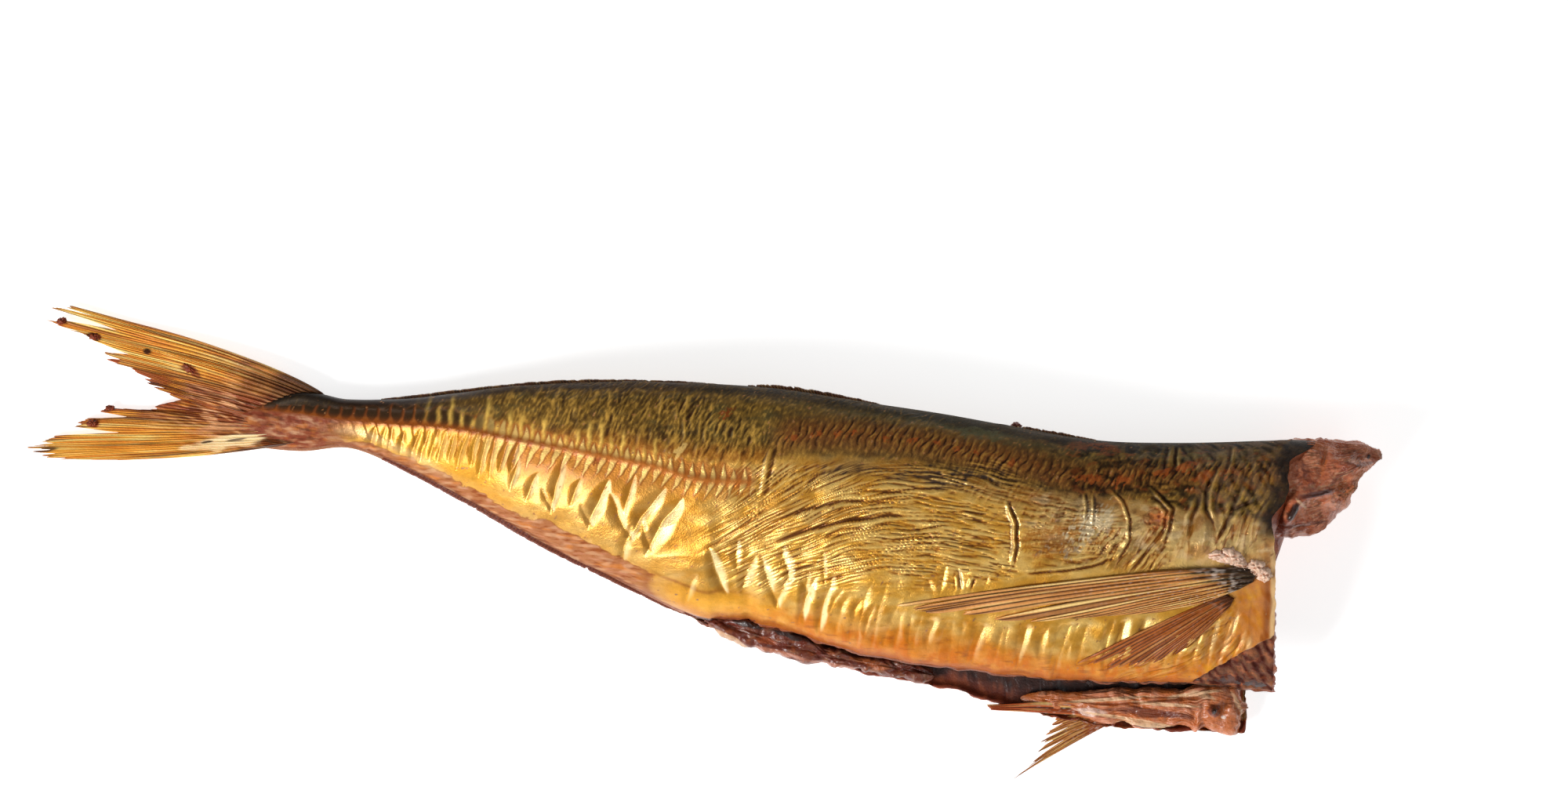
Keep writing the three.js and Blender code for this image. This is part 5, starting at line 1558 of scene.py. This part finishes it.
def edgeBlade(name, fromX, toX, reachOut, atBack, seed, lift, thick):
    # A folded fin as a low ragged blade standing out of the back or belly line.
    xs = np.linspace(fromX, toX, blade["stations"])
    backY, nearY = stationAt(xs)[0], stationAt(xs)[1]
    base = (backY - blade["sunk"]) if atBack else (nearY + blade["sunk"])
    draw = np.random.default_rng(seed)
    grow = np.sqrt(np.sin(np.pi * np.linspace(0.03, 0.97, blade["stations"])))
    out = (backY if atBack else nearY) + reachOut * grow * draw.uniform(0.8, 1.1, blade["stations"])
    order = slice(None, None, -1) if atBack else slice(None)
    return {
        "name": name, "rows": blade["rows"], "columns": blade["columns"], "seed": seed,
        "rays": max(3, int(abs(toX - fromX) / blade["rayPitch"])),
        "roots": list(zip(xs[order], base[order])),
        "tips": list(zip((xs - blade["trail"])[order], out[order])),
        "bow": 0.0, "trailBow": 0.0, "sway": 0.0, "fray": 0.06, "splits": 4, "splitDepth": 0.15,
        "forks": (0.2, 0.5), "thick": thick, "thin": thick * 0.6, "rib": 0.25, "ripple": 0.1,
        "floor": False, "lift": lambda x, y, run, v: lift(x) + 0 * y,
    }


def ridgeHeight(x):
    return stationAt(x)[3]


def bellyHeight(x):  # midway between the two cut edges
    return (stationAt(x)[4] + stationAt(x)[5]) / 2


bladeLook = finColours(colour(118, 72, 40), back["dark"], back["dark"], 0.1, 0.12)
bellyBladeLook = finColours(bare["brown"], bare["wine"], bare["brown"], 0.1, 0.0)
for name, fromX, toX, reachOut, atBack, lift, thick in [
    ("dorsal_blade_rear", -80, 8, 0.8, True, ridgeHeight, 2.0),
    ("dorsal_blade_middle", 14, 48, 1.5, True, ridgeHeight, 2.0),
    ("dorsal_blade_front", 80, 103, 1.1, True, ridgeHeight, 2.4),
    ("anal_blade", -80, 4, -0.5, False, bellyHeight, 2.2),
]:
    finPiece(edgeBlade(name, fromX, toX, reachOut, atBack, 120 + fromX % 7, lift, thick),
             bladeLook if atBack else bellyBladeLook)
shoulderLumps = [  # x, y, half length, half width, half height, turn
    (134.4, -2.8, 3.2, 2.0, 1.3, -16), (136.8, -4.6, 2.4, 1.6, 1.2, -40), (141, -5.4, 2.4, 1.8, 1.3, -20),
    (143, -7.4, 1.9, 1.7, 1.2, -10), (131.2, -2.4, 2.2, 1.1, 0.8, 10), (139.8, -7.2, 1.9, 1.2, 1.0, 30),
]
placedLumps = [(x, y, float(nearHeight(np.array(x), np.array(y))) + 0.3, *rest)
               for x, y, *rest in shoulderLumps]
lumpPiece("shoulder_lumps", placedLumps, fleshMaterial,
          colour(248, 206, 178), bare["orange"], 115)
backKnob = [(80.6, 30.2, 15.6, 1.3, 1.0, 1.0, 0)]
lumpPiece("back_knob", backKnob, fleshMaterial, bare["red"], bare["dark"], 117)
print("fins made")


# floor, light and camera
stage = {"size": 6.0, "shade": 0.85, "drop": 0.0003, "glow": 0.68, "sky": 0.18}
half = stage["size"] / 2
floorMesh = bpy.data.meshes.new("floor")
corners = [(x, y, -stage["drop"]) for x, y in ((-half, -half), (half, -half), (half, half), (-half, half))]
floorMesh.from_pydata(corners, [], [(0, 1, 2, 3)])
floor = bpy.data.objects.new("floor", floorMesh)
bpy.context.scene.collection.objects.link(floor)
floorPaint = Paint("pale_floor")
floorPaint.surface(Base_Color=grey(stage["shade"]), Roughness=0.6, Emission_Color=grey(1.0),
                   Emission_Strength=stage["glow"])
floorMesh.materials.append(floorPaint.material)

lights = {  # size, place, energy in watts
    "key": ((0.6, 0.45), (-0.95, -0.72, 0.8), 15.0),
    "glint": ((0.4, 0.12), (-0.75, -0.5, 0.9), 5.0),
    "fill": ((1.0, 0.6), (0.75, -0.3, 1.1), 3.0),
    "back": ((0.6, 0.25), (-0.6, 0.8, 0.8), 1.0),
}
aim = floor.location.copy()  # the lights point at the frame's origin
for name, (size, place, energy) in lights.items():
    lamp = bpy.data.lights.new(name, "AREA")
    lamp.shape, lamp.size, lamp.size_y, lamp.energy = "RECTANGLE", size[0], size[1], energy
    lampObject = bpy.data.objects.new(name, lamp)
    lampObject.location = place
    lampObject.rotation_euler = (aim - lampObject.location).to_track_quat("-Z", "Y").to_euler()
    bpy.context.scene.collection.objects.link(lampObject)
world = bpy.data.worlds.new("studio")
bpy.context.scene.world = world
world.use_nodes = True
sky = world.node_tree.nodes["Background"]
sky.inputs["Color"].default_value = grey(1.0)
sky.inputs["Strength"].default_value = stage["sky"]

view = {"x": 0.0214, "y": 0.0368, "height": 2.238, "lens": 200.0, "sensor": 36.0, "near": 0.1, "far": 20}
cameraData = bpy.data.cameras.new("camera")
cameraData.lens, cameraData.sensor_width = view["lens"], view["sensor"]
cameraData.clip_start, cameraData.clip_end = view["near"], view["far"]
camera = bpy.data.objects.new("camera", cameraData)
camera.location = (view["x"], view["y"], view["height"])
bpy.context.scene.collection.objects.link(camera)
bpy.context.scene.camera = camera
bpy.context.scene.view_settings.view_transform = "Standard"
print("floor, light and camera set")
